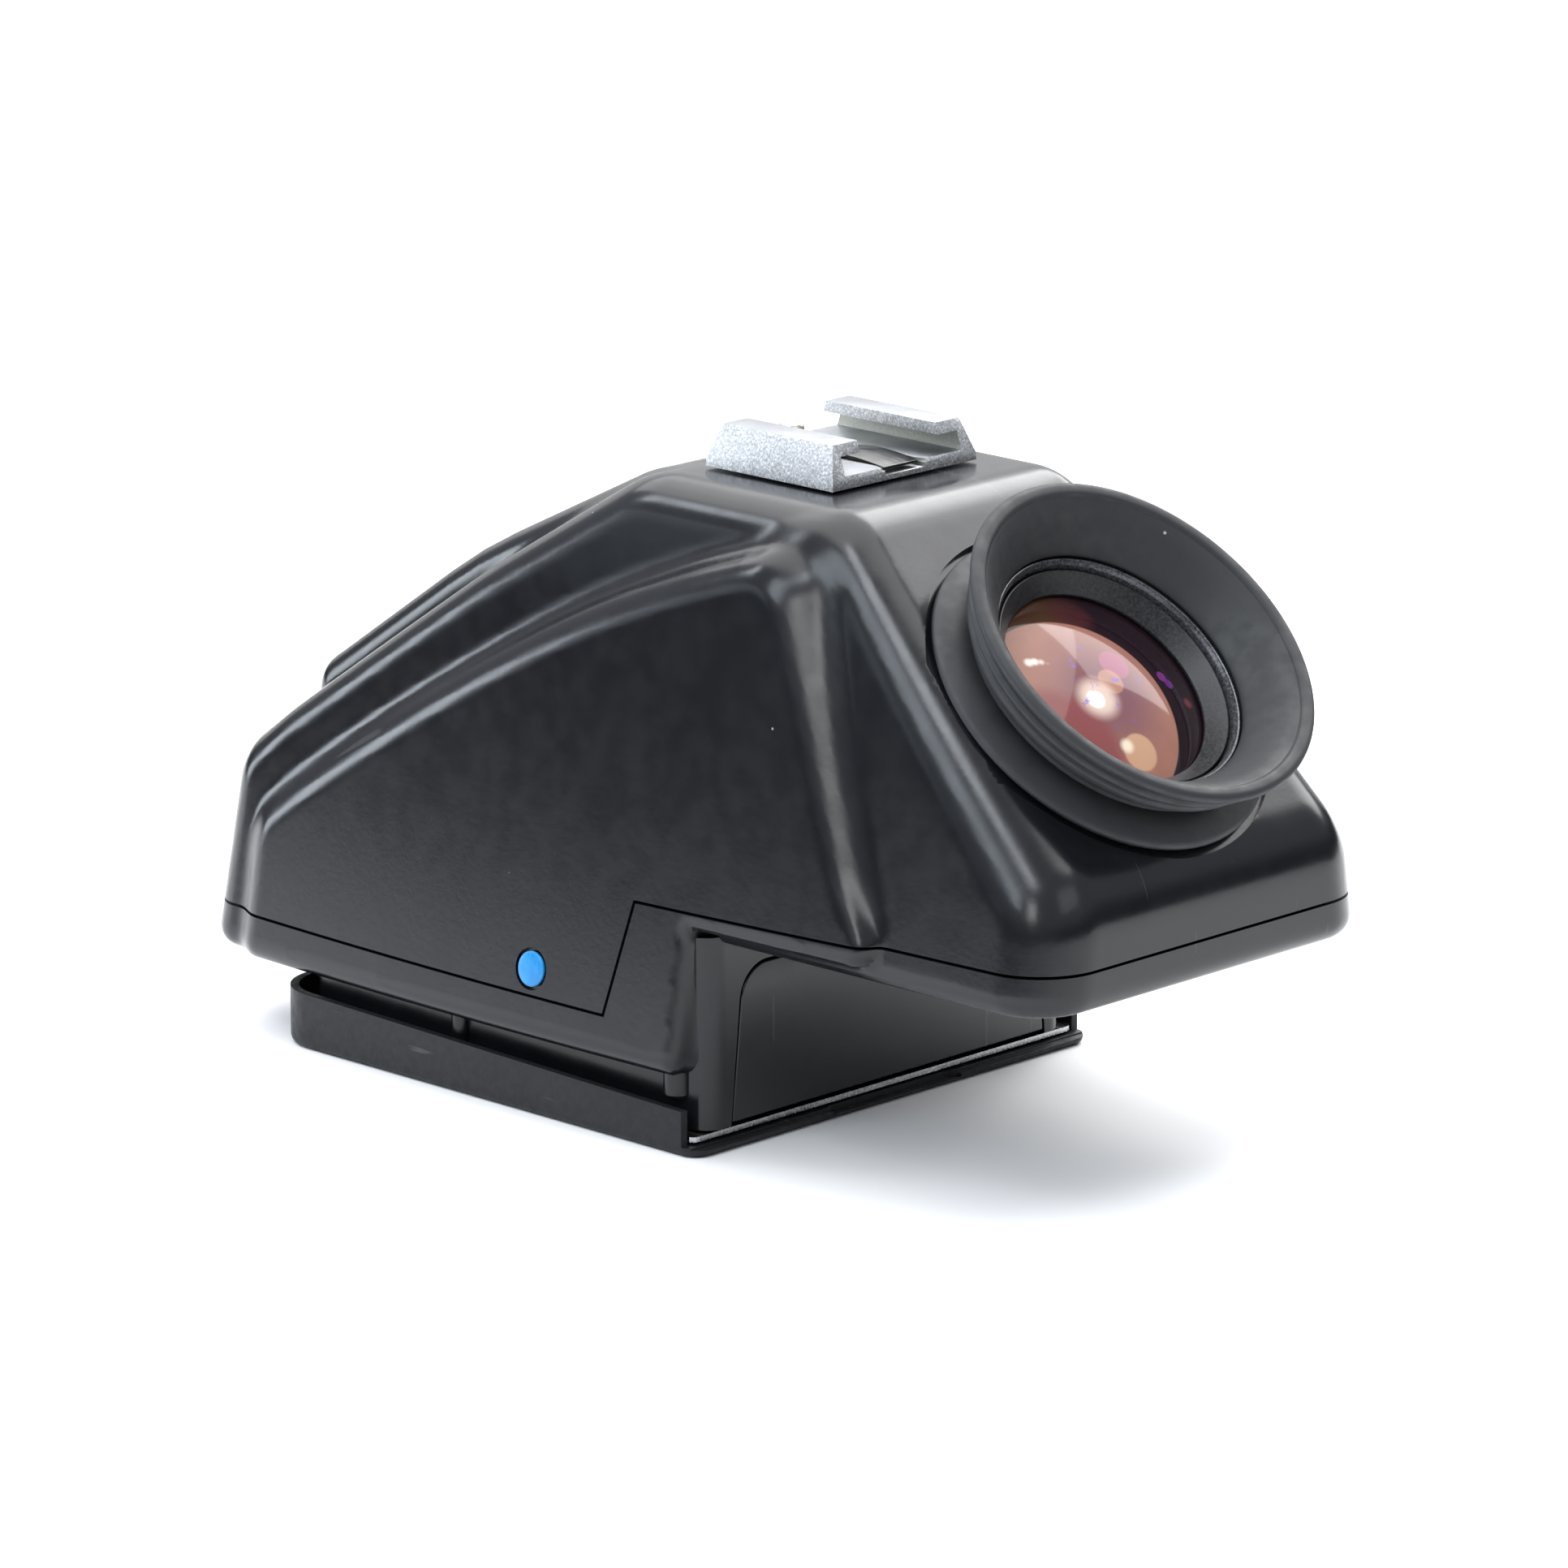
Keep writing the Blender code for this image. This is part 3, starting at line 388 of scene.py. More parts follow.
def surface(name, field, low, high, step):
    """Closed mesh of the field's zero surface: surface nets, then a few Newton steps onto it."""
    axes = [np.arange(a, b + step, step) for a, b in zip(low, high)]
    value = field(axes[0][:, None, None], axes[1][None, :, None], axes[2][None, None, :])
    inside = value < 0
    nx, ny, nz = (n - 1 for n in value.shape)
    corners = [(i, j, k) for i in (0, 1) for j in (0, 1) for k in (0, 1)]
    count = sum(inside[i : nx + i, j : ny + j, k : nz + k].astype(np.int8) for i, j, k in corners)
    mixed = (count > 0) & (count < 8)
    cells = np.argwhere(mixed)
    index = np.full(mixed.shape, -1, np.int64)
    index[mixed] = np.arange(len(cells))
    total = np.zeros((len(cells), 3))
    hits = np.zeros(len(cells))
    unit = np.eye(3, dtype=int)
    for corner in corners:
        for axis in range(3):
            if corner[axis]:
                continue
            va = value[tuple((cells + corner).T)]
            vb = value[tuple((cells + corner + unit[axis]).T)]
            crosses = (va < 0) != (vb < 0)
            t = np.where(crosses, va / np.where(crosses, va - vb, 1), 0)
            total += np.where(crosses[:, None], cells + corner + t[:, None] * unit[axis], 0)
            hits += crosses
    points = np.array(low) + step * total / hits[:, None]
    quads = []
    for axis in range(3):
        first = tuple(slice(0, -1) if d == axis else slice(1, -1) for d in range(3))
        second = tuple(slice(1, None) if d == axis else slice(1, -1) for d in range(3))
        at = np.argwhere(inside[first] != inside[second]) + (1 - unit[axis])
        u = unit[(axis + 1) % 3]
        v = unit[(axis + 2) % 3]
        ring = np.stack([index[tuple(c.T)] for c in (at, at - u, at - u - v, at - v)], 1)
        inward = ~inside[tuple(at.T)]
        ring[inward] = ring[inward][:, ::-1]
        quads.append(ring)
    for _ in range(3):
        here = field(*points.T)
        slope = np.stack([(field(*(points + 0.03 * e).T) - here) / 0.03 for e in unit], 1)
        move = slope * (here / np.maximum((slope**2).sum(1), 0.1))[:, None]
        length = np.maximum(np.linalg.norm(move, axis=1, keepdims=True), 1e-9)
        points -= move * np.minimum(1, 0.5 * step / length)
    return add_mesh(name, points, np.concatenate(quads).tolist())


def seam_region(name, upper):
    """Everything above or below the stepped seam, half a seam's gap away from it."""
    lift = SEAM_HALF if upper else -SEAM_HALF
    far = 90.0 if upper else -10.0
    line = [(60.0, 14.0), (-19.2 + lift, 14.0), (-22.2 + lift, 27.2), (-90.0, 28.4)]
    ring = [(y, z + lift) for y, z in line] + [(-90.0, far), (60.0, far)]
    return loft(name, [[(x, y, z) for y, z in ring] for x in (-45.0, 45.0)])


def panel_outline(grow):
    """Outline of the blanking panel behind the light well, or of an opening that much larger."""
    low = 25.4 + grow
    high = 23.6 + grow
    bottom = 1.3 if grow > 0 else 2.7 - grow
    top, corner = 20.2 + grow, 4 + grow
    return rounded([(-low, bottom, 0), (low, bottom, 0), (high, top, corner), (-high, top, corner)], 6)


def on_pod(s, radius, turn):
    """Placement square to the left pod's face at the index mark."""
    y, z = -7.6, 17.0
    normal = Vector((-1.0, 0.0, FLANK_LEAN)).normalized()
    up = normal.cross(Vector((0.0, 1.0, 0.0)))
    centre = Vector((-pod_face(y, z), y, z))
    return centre + normal * s + (Vector((0, math.cos(turn), 0)) + up * math.sin(turn)) * radius


def shape_upper(upper, cavity):
    """Hollow the upper half, and give it the eyepiece's seat, the mark's seat and the screw posts."""
    cut(upper, copy_of(cavity, "inside"))
    boolean(upper, seam_region("above", True), "INTERSECT")
    join(upper, turned("seat", [(20.4, -2.9), (20.4, -0.3)], hollow=False))
    cut(
        upper,
        turned("recess", [(FLANGE_R + 0.7, -0.3), (FLANGE_R + 0.7, 16.0)], hollow=False),
        turned("underside", [(19.0, -9.0), (19.0, -2.7)], hollow=False),
        turned("eye_hole", [(15.8, -12.0), (15.8, 4.0)], hollow=False),
        turned("mark_seat", [(2.4, -0.55), (2.4, 1.0)], on_pod, 64, False),
    )
    for x, y, z0, z1 in POSTS:
        hole = [(SCREW_HOLE_R, z0 - 1.0), (SCREW_HOLE_R, z0 + 8.5)]
        join(upper, turned("post", [(2.4, z0), (2.4, z1)], upright(x, y), 32, False))
        cut(upper, turned("hole", hole, upright(x, y), 24, False))


def shape_lower(lower, cavity):
    """Add the light well's walls with their lugs, then cut the well, the panel's seat and the holes."""
    neck = rounded_rect(-NECK_HALF, NECK_HALF, NECK_REAR_Y, NECK_FRONT_Y, 3.0, 3.0)
    join(lower, column("neck", neck, 2.3, TRAY_Z + 1.0))
    for x in (-NECK_HALF + 0.1, NECK_HALF - 0.1):
        join(lower, turned("lug", [(0.9, 4.2), (1.2, 4.5), (1.2, 9.5)], upright(x, 6.8), 32, False))
        join(lower, turned("lug", [(1.3, 5.8), (1.6, 6.1), (1.6, 9.5)], upright(x, -27.4), 32, False))
    bore = column("bore", rounded_rect(-27.5, 27.5, -30.0, 30.0, 11.0, 11.0), 0.0, 22.0)
    cut(lower, cavity, bore)
    boolean(lower, seam_region("below", False), "INTERSECT")
    cut(lower, across("pocket", panel_outline(0.35), NECK_REAR_Y - 1.0, NECK_REAR_Y + 1.25))
    cut(lower, across("window", panel_outline(-1.5), NECK_REAR_Y - 1.0, NECK_REAR_Y + 5.5))
    for x, y, _, _ in POSTS:
        floor = BELLY_Z if y > 0 else TRAY_Z
        sink = [(HEAD_HOLE_R, floor - 1.0), (HEAD_HOLE_R, floor + 1.2)]
        hole = [(SCREW_HOLE_R, floor), (SCREW_HOLE_R, floor + 4.0)]
        cut(lower, turned("bore", sink, upright(x, y), 48, False))
        cut(lower, turned("hole", hole, upright(x, y), 24, False))
    for x, y in PLATE_SCREWS:
        cut(lower, turned("hole", [(1.0, 1.0), (1.0, 7.4)], upright(x, y), 24, False))


def make_shells(paint):
    low, high = (-37, -83, 5), (37, 53, 75)
    upper = surface("upper_skin", housing, low, high, STEP)
    cavity = surface("cavity", lambda x, y, z: housing(x, y, z) + WALL, low, high, CAVITY_STEP)
    lower = copy_of(upper, "lower_skin")
    shape_upper(upper, cavity)
    shape_lower(lower, cavity)
    place(upper, paint, "housing", ["upper_shell"], "black_paint", 38.0)
    place(lower, paint, "housing", ["lower_shell"], "black_paint", 38.0)


def make_cover(plastic):
    """Slide-off tray, open and stepped down at the rear, with lips over the base plate's edges."""
    y0, y1 = COVER_REAR_Y, COVER_FRONT_Y
    levels = ((0.0, 0.75), (0.12, 0.4), (0.4, 0.12), (0.8, 0.0), (8.0, 0.0))
    rings = []
    for z, draw in levels:
        side = COVER_HALF - draw
        outline = rounded_rect(-side, side, y0 + draw, y1 - draw, 6.5 - draw, 2.4 - draw)
        rings.append([(p.x, p.y, z) for p in outline])
    cover = loft("cover_tray", rings)
    half = COVER_HALF - 1.0
    cut(
        cover,
        column("inside", rounded_rect(-half, half, y0 - 5.0, y1 - 1.0, 5.5, 0.5), 1.1, 10.0),
        box("open_end", -40.0, 40.0, y0 - 5.0, -30.9, 1.1, 10.0),
    )
    slope = [(y0 - 5.0, 5.05), (y1, 6.75), (y1 + 5.0, 6.75), (y1 + 5.0, 12.0), (y0 - 5.0, 12.0)]
    cut(
        cover,
        loft("top", [[(x, y, z) for y, z in slope] for x in (-40.0, 40.0)]),
        box("rear_step", -40.0, 40.0, y0 - 5.0, y0 + 1.1, 0.9, 10.0),
        column("thumb", rounded_rect(-10.5, 10.5, y0 - 5.0, y0 + 1.6, 1.4, 0.0), 0.55, 10.0),
    )
    for x in (-1, 1):
        edge = sorted((x * (half + 0.3), x * (NECK_HALF + 0.85)))
        join(cover, box("lip", edge[0], edge[1], -28.5, 23.0, 2.35, 3.0))
    place(cover, plastic, "cover", ["base_cover"], "black_plastic", 35.0, 0.16)


def make_cup(rubber):
    """Rubber eyecup: seat, flared mouth, rolled lip and three ribs, as one closed profile."""
    cup = [
        (16.9, 2.75),
        (16.8, 4.7),
        (16.2, 4.85),
        (15.7, 4.88),
        (15.42, 5.0),
        (15.45, 5.35),
        (15.95, 6.1),
        (17.1, 7.5),
        (18.4, 9.0),
        (19.3, 9.75),
        (19.7, 10.0),
        (19.82, 10.2),
        (20.05, 10.42),
        (20.5, 10.52),
        (21.0, 10.5),
        (21.45, 10.2),
        (21.5, 9.7),
        (21.2, 9.2),
        (20.75, 8.8),
        (20.1, 8.55),
        (19.8, 8.2),
        (20.1, 7.85),
        (20.3, 7.4),
        (20.0, 6.9),
        (19.3, 6.65),
        (19.1, 6.3),
        (19.4, 5.9),
        (19.35, 5.3),
        (18.95, 4.7),
        (18.4, 4.25),
        (17.9, 3.95),
        (17.65, 3.5),
        (17.6, 2.9),
    ]
    profile = [(p.x, p.y) for p in spline([Vector(p) for p in cup], 4, closed=True)]
    place(turned("rubber_cup", profile), rubber, "dioptre", ["eyecup"], "black_rubber", 60.0)


def make_ring(rubber):
    ring = [(15.7, 0.2), (20.5, 0.2), (20.85, 0.3), (20.97, 0.5), (20.97, 0.8), (20.85, 1.05), (20.5, 1.3)]
    ring += [(19.9, 1.6), (19.2, 1.95), (18.5, 2.2), (17.8, 2.33), (16.5, 2.35)]
    ring += [(16.5, 4.5), (16.4, 4.6), (15.7, 4.6)]
    place(turned("focus_ring", ring), rubber, "dioptre", ["dioptre_ring"], "black_rubber", 50.0)


def make_barrel(look):
    """Eyepiece tube with its mounting flange and a slot for the guide pin."""
    barrel = [(14.8, -13.0), (15.4, -13.0), (15.4, -4.4), (18.5, -4.4), (18.5, -2.9), (15.4, -2.9)]
    barrel += [(15.4, 4.5), (15.36, 4.7), (15.28, 4.78), (15.18, 4.78), (15.08, 4.7), (15.02, 4.5)]
    barrel += [(14.85, 4.25), (14.8, 4.1)]
    tube = turned("eyepiece_tube", barrel)
    slot = []
    for s in (-4.0, 1.6):
        corners = ((-0.85, 14.0), (0.85, 14.0), (0.85, 16.2), (-0.85, 16.2))
        slot.append([EYE_FOOT + EYE_AXIS * s + Vector((x, 0, 0)) + EYE_UP * r for x, r in corners])
    cut(tube, loft("slot", slot))
    place(tube, look, "housing", ["eyepiece_barrel"], "black_anodised", 30.0)


def make_cell(anodised):
    cell = [(13.1, -12.1), (14.5, -12.1), (14.5, 3.6), (14.42, 3.8), (14.3, 3.82), (13.9, 3.4)]
    cell += [(13.0, 2.3), (12.62, 1.85), (12.6, 1.6), (12.85, 1.5), (13.1, 1.4)]
    place(turned("lens_sleeve", cell), anodised, "lens_group", ["lens_cell"], "black_anodised", 30.0)


def make_eye_lens(glass):
    """Biconvex lens: a shallow inner face, a straight edge and a fuller outer face."""
    rim = 12.8
    profile = []
    for i in range(14):
        r = rim * max(i, 0.02) / 14
        profile.append((r, -0.9 - 0.9 * (1 - (r / rim) ** 2)))
    profile += [(rim, -0.9), (rim, 1.3)]
    for i in reversed(range(28)):
        r = rim * max(i, 0.02) / 28
        profile.append((r, 1.3 + 2.2 * (1 - (r / rim) ** 2)))
    lens = turned("eye_glass", profile, hollow=False)
    place(lens, glass, "lens_group", ["eye_lens"], "coated_glass", 40.0)


def make_shoe(blasted):
    """Accessory shoe: tapered block with slot, gap, spring channel, screw sinks and corner notches."""
    y0, y1 = SHOE_REAR_Y, SHOE_FRONT_Y
    rings = []
    for z, draw in ((72.0, 0.0), (72.9, 0.05), (76.8, 1.4)):
        x = 11.55 - draw
        rings.append([(-x, y0 + draw, z), (x, y0 + draw, z), (x, y1 - draw, z), (-x, y1 - draw, z)])
    shoe = loft("shoe_block", rings)
    cut(
        shoe,
        box("slot", -9.35, 9.35, y0 - 1, y1 + 1, 73.4, 75.5),
        box("gap", -6.3, 6.3, y0 - 1, y1 + 1, 74.0, 78.0),
        box("channel", -3.1, 3.1, y0 - 1, -18.9, 72.55, 74.0),
        turned("pin_hole", [(1.0, 71.0), (1.0, 74.0)], upright(*PIN_AT), 32, False),
    )
    for y in SHOE_SCREWS_Y:
        cut(shoe, turned("sink", [(0.9, 71.5), (1.9, 72.1), (2.3, 72.7)], upright(0.0, y), 32, False))
    for x in (-3.1, 3.1):
        ring = [(x - 0.55, y0 - 0.2), (x + 0.55, y0 - 0.2), (x, y0 + 1.5)]
        cut(shoe, loft("notch", [[(px, py, z) for px, py in ring] for z in (73.05, 73.6)]))
    place(shoe, blasted, "housing", ["shoe_body"], "aluminium", 30.0, 0.13)


def make_spring(dark_spring):
    line = spline([(-19.4, 73.1), (-22.5, 73.4), (-27.0, 73.85), (-31.0, 73.6), (-33.2, 73.3)], 10)
    outline = [(p.x, p.y) for p in line] + [(p.x, p.y - 0.35) for p in reversed(line)]
    leaf = loft("spring_strip", [[(x, y, z) for y, z in outline] for x in (-2.75, 2.75)])
    place(leaf, dark_spring, "spring_leaf", ["shoe_spring"], "spring_steel", 40.0, 0.07)


def make_stop_pin(brass):
    pin = [(0.7, 72.3), (0.7, 73.7), (1.38, 73.7), (1.48, 73.78), (1.5, 73.9), (1.5, 75.0)]
    pin += [(1.46, 75.25), (1.32, 75.5), (1.1, 75.7), (0.8, 75.85), (0.45, 75.93), (0.02, 75.95)]
    stud = turned("stop_stud", pin, upright(*PIN_AT), 48, False)
    place(stud, brass, "housing", ["shoe_stop_pin"], "brass", 50.0)


def make_panel(paint):
    panel = across("blank_panel", panel_outline(0.0), NECK_REAR_Y, NECK_REAR_Y + 0.95)
    place(panel, paint, "housing", ["rear_panel"], "black_paint", 35.0, 0.2)


def make_mark(blue):
    mark = [(2.0, -0.25), (2.0, -0.02), (1.96, 0.04), (1.85, 0.08), (1.0, 0.1), (0.02, 0.1)]
    disc = turned("side_mark", mark, on_pod, 64, False)
    place(disc, blue, "housing", ["index_mark"], "blue_enamel", 50.0)


def cut_driver(screw, x, y, z0, z1, sizes):
    """Crossed driver recess in a screw's head."""
    for a, b in (sizes, sizes[::-1]):
        cut(screw, box("driver", x - a, x + a, y - b, y + b, z0, z1))


def make_screws(steel):
    """Housing screws and base plate screws, each with a driver recess in its head."""
    for i, (x, y, z0, _) in enumerate(POSTS):
        floor = BELLY_Z if y > 0 else TRAY_Z
        head = [(1.55, floor - 0.15), (1.8, floor - 0.08), (1.9, floor + 0.1), (1.9, floor + 0.85)]
        shank = [(0.85, floor + 0.85), (0.85, z0 + 7.5)]
        screw = turned(f"case_screw_{i + 1}", head + shank, upright(x, y), 48, False)
        cut_driver(screw, x, y, floor - 1.0, floor + 0.4, (1.1, 0.2))
        place(screw, steel, "housing", [f"casing_screw_{i + 1}"], "steel", 40.0)
    for i, (x, y) in enumerate(PLATE_SCREWS):
        profile = [(1.7, 1.5), (0.65, 2.2), (0.65, 6.8)]
        screw = turned(f"base_screw_{i + 1}", profile, upright(x, y), 48, False)
        cut_driver(screw, x, y, 1.0, 1.85, (1.0, 0.18))
        place(screw, steel, "housing", [f"plate_screw_{i + 1}"], "steel", 40.0)


# Materials


class Look:
    """A node material under construction, in the row frame's coordinates."""

    def __init__(self, name):
        self.material = bpy.data.materials.new(name)
        self.material.use_nodes = True
        self.nodes = self.material.node_tree.nodes
        self.links = self.material.node_tree.links
        self.shader = self.nodes["Principled BSDF"]
        self.coords = self.nodes.new("ShaderNodeTexCoord").outputs["Object"]
        self.height = None

    def set(self, **values):
        for key, value in values.items():
            self.shader.inputs[key.replace("_", " ")].default_value = value

    def stretched(self, scale, turn=(0.0, 0.0, 0.0)):
        node = self.nodes.new("ShaderNodeMapping")
        node.inputs["Scale"].default_value = scale
        node.inputs["Rotation"].default_value = turn
        self.links.new(self.coords, node.inputs["Vector"])
        return node.outputs["Vector"]

    def noise(self, scale, detail=2.0, rough=0.5, vector=None):
        node = self.nodes.new("ShaderNodeTexNoise")
        node.inputs["Scale"].default_value = scale
        node.inputs["Detail"].default_value = detail
        node.inputs["Roughness"].default_value = rough
        self.links.new(vector or self.coords, node.inputs["Vector"])
        return node.outputs["Fac"]

    def feed(self, socket, value):
        """A number or colour set on the socket, or an output linked to it."""
        if isinstance(value, (int, float)):
            socket.default_value = value
        elif isinstance(value, tuple):
            socket.default_value = (*value, 1.0)
        else:
            self.links.new(value, socket)

    def math(self, operation, a, b=0.0):
        node = self.nodes.new("ShaderNodeMath")
        node.operation = operation
        self.feed(node.inputs[0], a)
        self.feed(node.inputs[1], b)
        return node.outputs[0]

    def span(self, value, low, high, to_low=0.0, to_high=1.0):
        node = self.nodes.new("ShaderNodeMapRange")
        node.interpolation_type = "SMOOTHSTEP"
        for key, number in (("From Min", low), ("From Max", high), ("To Min", to_low), ("To Max", to_high)):
            node.inputs[key].default_value = number
        self.links.new(value, node.inputs["Value"])
        return node.outputs["Result"]

    def mix(self, fac, a, b):
        node = self.nodes.new("ShaderNodeMix")
        node.data_type = "RGBA"
        for key, value in (("Factor", fac), ("A", a), ("B", b)):
            self.feed(node.inputs[key], value)
        return node.outputs["Result"]

    def specks(self, scale, share, size):
        """1 on sparse small dots, 0 elsewhere."""
        node = self.nodes.new("ShaderNodeTexVoronoi")
        node.inputs["Scale"].default_value = scale
        self.links.new(self.coords, node.inputs["Vector"])
        chosen = self.nodes.new("ShaderNodeSeparateColor")
        self.links.new(node.outputs["Color"], chosen.inputs["Color"])
        rare = self.math("GREATER_THAN", chosen.outputs[0], 1.0 - share)
        reach = self.math("MULTIPLY", chosen.outputs[1], size)
        near = self.math("LESS_THAN", node.outputs["Distance"], reach)
        return self.math("MULTIPLY", rare, near)

    def colour(self, value):
        self.links.new(value, self.shader.inputs["Base Color"])

    def roughness(self, value):
        self.links.new(value, self.shader.inputs["Roughness"])

    def bump(self, value, strength, distance):
        node = self.nodes.new("ShaderNodeBump")
        node.inputs["Strength"].default_value = strength
        node.inputs["Distance"].default_value = distance
        self.links.new(value, node.inputs["Height"])
        if self.height:
            self.links.new(self.height, node.inputs["Normal"])
        self.height = node.outputs["Normal"]
        self.links.new(self.height, self.shader.inputs["Normal"])


def paint_look():
    """Semi-gloss black paint: fine orange peel, slow tone drift, hairline scratches, a little dust."""
    look = Look("black_paint")
    drift = look.span(look.noise(45.0, 3.0), 0.3, 0.7)
    tone = look.mix(drift, (0.0056, 0.0062, 0.0076), (0.0076, 0.0083, 0.0100))
    strands = look.stretched((900.0, 26.0, 60.0), (0.5, 0.2, 0.9))
    hair = look.span(look.noise(1.0, 1.0, 0.4, strands), 0.735, 0.76)
    dust = look.specks(260.0, 0.10, 0.055)
    tone = look.mix(look.math("MULTIPLY", hair, 0.16), tone, (0.16, 0.16, 0.165))
    tone = look.mix(look.math("MULTIPLY", dust, 0.7), tone, (0.32, 0.32, 0.32))
    look.colour(tone)
    gloss = look.span(look.noise(320.0, 2.0), 0.3, 0.7, 0.19, 0.23)
    look.roughness(look.math("ADD", gloss, look.math("MULTIPLY", dust, 0.4)))
    look.bump(look.noise(1300.0, 2.0, 0.6), 0.22, 0.00003)
    look.bump(look.noise(300.0, 1.0), 0.03, 0.00006)
    look.set(Specular_IOR_Level=0.44)
    return look.material


def rubber_look():
    """Matt rubber with a faint mould grain and pale dust."""
    look = Look("black_rubber")
    drift = look.span(look.noise(70.0, 3.0), 0.3, 0.7)
    tone = look.mix(drift, (0.014, 0.0155, 0.018), (0.019, 0.0205, 0.023))
    dust = look.specks(420.0, 0.22, 0.085)
    lint = look.specks(170.0, 0.12, 0.045)
    pale = look.math("MULTIPLY", look.math("MAXIMUM", dust, lint), 0.75)
    tone = look.mix(pale, tone, (0.45, 0.44, 0.42))
    look.colour(tone)
    look.roughness(look.span(look.noise(500.0, 2.0), 0.3, 0.7, 0.52, 0.64))
    look.bump(look.noise(2600.0, 2.0, 0.6), 0.3, 0.00003)
    return look.material


def plastic_look():
    """Grey-black moulded plastic with a fine spark-eroded grain."""
    look = Look("black_plastic")
    drift = look.span(look.noise(60.0, 3.0), 0.3, 0.7)
    tone = look.mix(drift, (0.0085, 0.0092, 0.0105), (0.0110, 0.0120, 0.0135))
    scuff = look.span(look.noise(1.0, 2.0, 0.5, look.stretched((500.0, 60.0, 700.0))), 0.70, 0.76)
    look.colour(look.mix(look.math("MULTIPLY", scuff, 0.2), tone, (0.2, 0.2, 0.2)))
    look.roughness(look.span(look.noise(900.0, 2.0), 0.3, 0.7, 0.42, 0.55))
    look.bump(look.noise(2100.0, 3.0, 0.7), 0.55, 0.00005)
    look.set(Specular_IOR_Level=0.3)
    return look.material


def metal_look(name, dark, light, rough, grain, strength, stretch=None, metallic=1.0):
    """Bare or anodised metal: blasted where the grain is round, brushed where it is stretched."""
    look = Look(name)
    look.set(Metallic=metallic)
    vector = look.stretched(stretch) if stretch else None
    fine = look.noise(grain if not stretch else 1.0, 3.0, 0.65, vector)
    drift = look.noise(120.0, 3.0)
    tone = look.mix(look.span(fine, 0.35, 0.68), dark, light)
    look.colour(look.mix(look.span(drift, 0.45, 0.75, 0.0, 0.25), tone, dark))
    look.roughness(look.span(fine, 0.3, 0.7, rough * 0.8, rough * 1.25))
    look.bump(fine, strength, 0.00003)
    return look.material


def blasted_look():
    """Bead-blasted aluminium with tone painted by facing: flanks with bright painted glint specks, upward
    faces a separate, darker painted tone and a smoother finish, and a darker, yellowish tone on the side
    walls inside the slot.
    """
    look = Look("aluminium")
    look.set(Metallic=1.0)
    fine = look.noise(3700.0, 3.0, 0.7)
    painted_sparkle = look.span(fine, 0.55, 0.68)
    # Flanks: mottled tone with bright painted glint specks, painted light that only the side faces get
    side = look.mix(look.span(fine, 0.3, 0.6), (0.36, 0.365, 0.375), (0.66, 0.665, 0.675))
    side = look.mix(painted_sparkle, side, (0.95, 0.95, 0.97))
    # Upward faces: a separate painted tone, set apart from the flanks' for how the light falls, mottled by
    # wear
    wear = look.span(look.noise(180.0, 4.0, 0.6), 0.35, 0.7)
    top = look.mix(wear, (0.40, 0.41, 0.43), (0.50, 0.51, 0.53))
    split = look.nodes.new("ShaderNodeSeparateXYZ")
    look.links.new(look.nodes.new("ShaderNodeTexCoord").outputs["Normal"], split.inputs[0])
    upward = look.span(split.outputs["Z"], 0.8, 0.95)
    # Tone chosen by which way the face points: painted light by facing
    tone = look.mix(upward, side, top)
    # Side walls inside the slot: a darker, yellowish tone
    place_at = look.nodes.new("ShaderNodeSeparateXYZ")
    look.links.new(look.coords, place_at.inputs[0])
    inward = look.math("LESS_THAN", look.math("ABSOLUTE", place_at.outputs["X"]), 0.0096)
    below = look.math("LESS_THAN", place_at.outputs["Z"], 0.0755)
    flat = look.span(look.math("ABSOLUTE", split.outputs["X"]), 0.8, 0.95)
    slot_wall_mask = look.math("MULTIPLY", look.math("MULTIPLY", inward, below), flat)
    look.colour(look.mix(look.math("MULTIPLY", slot_wall_mask, 0.8), tone, (0.30, 0.30, 0.25)))
    rough = look.math("ADD", look.span(fine, 0.3, 0.7, 0.44, 0.54), look.math("MULTIPLY", upward, -0.16))
    look.roughness(rough)
    look.bump(fine, 0.35, 0.00003)
    return look.material


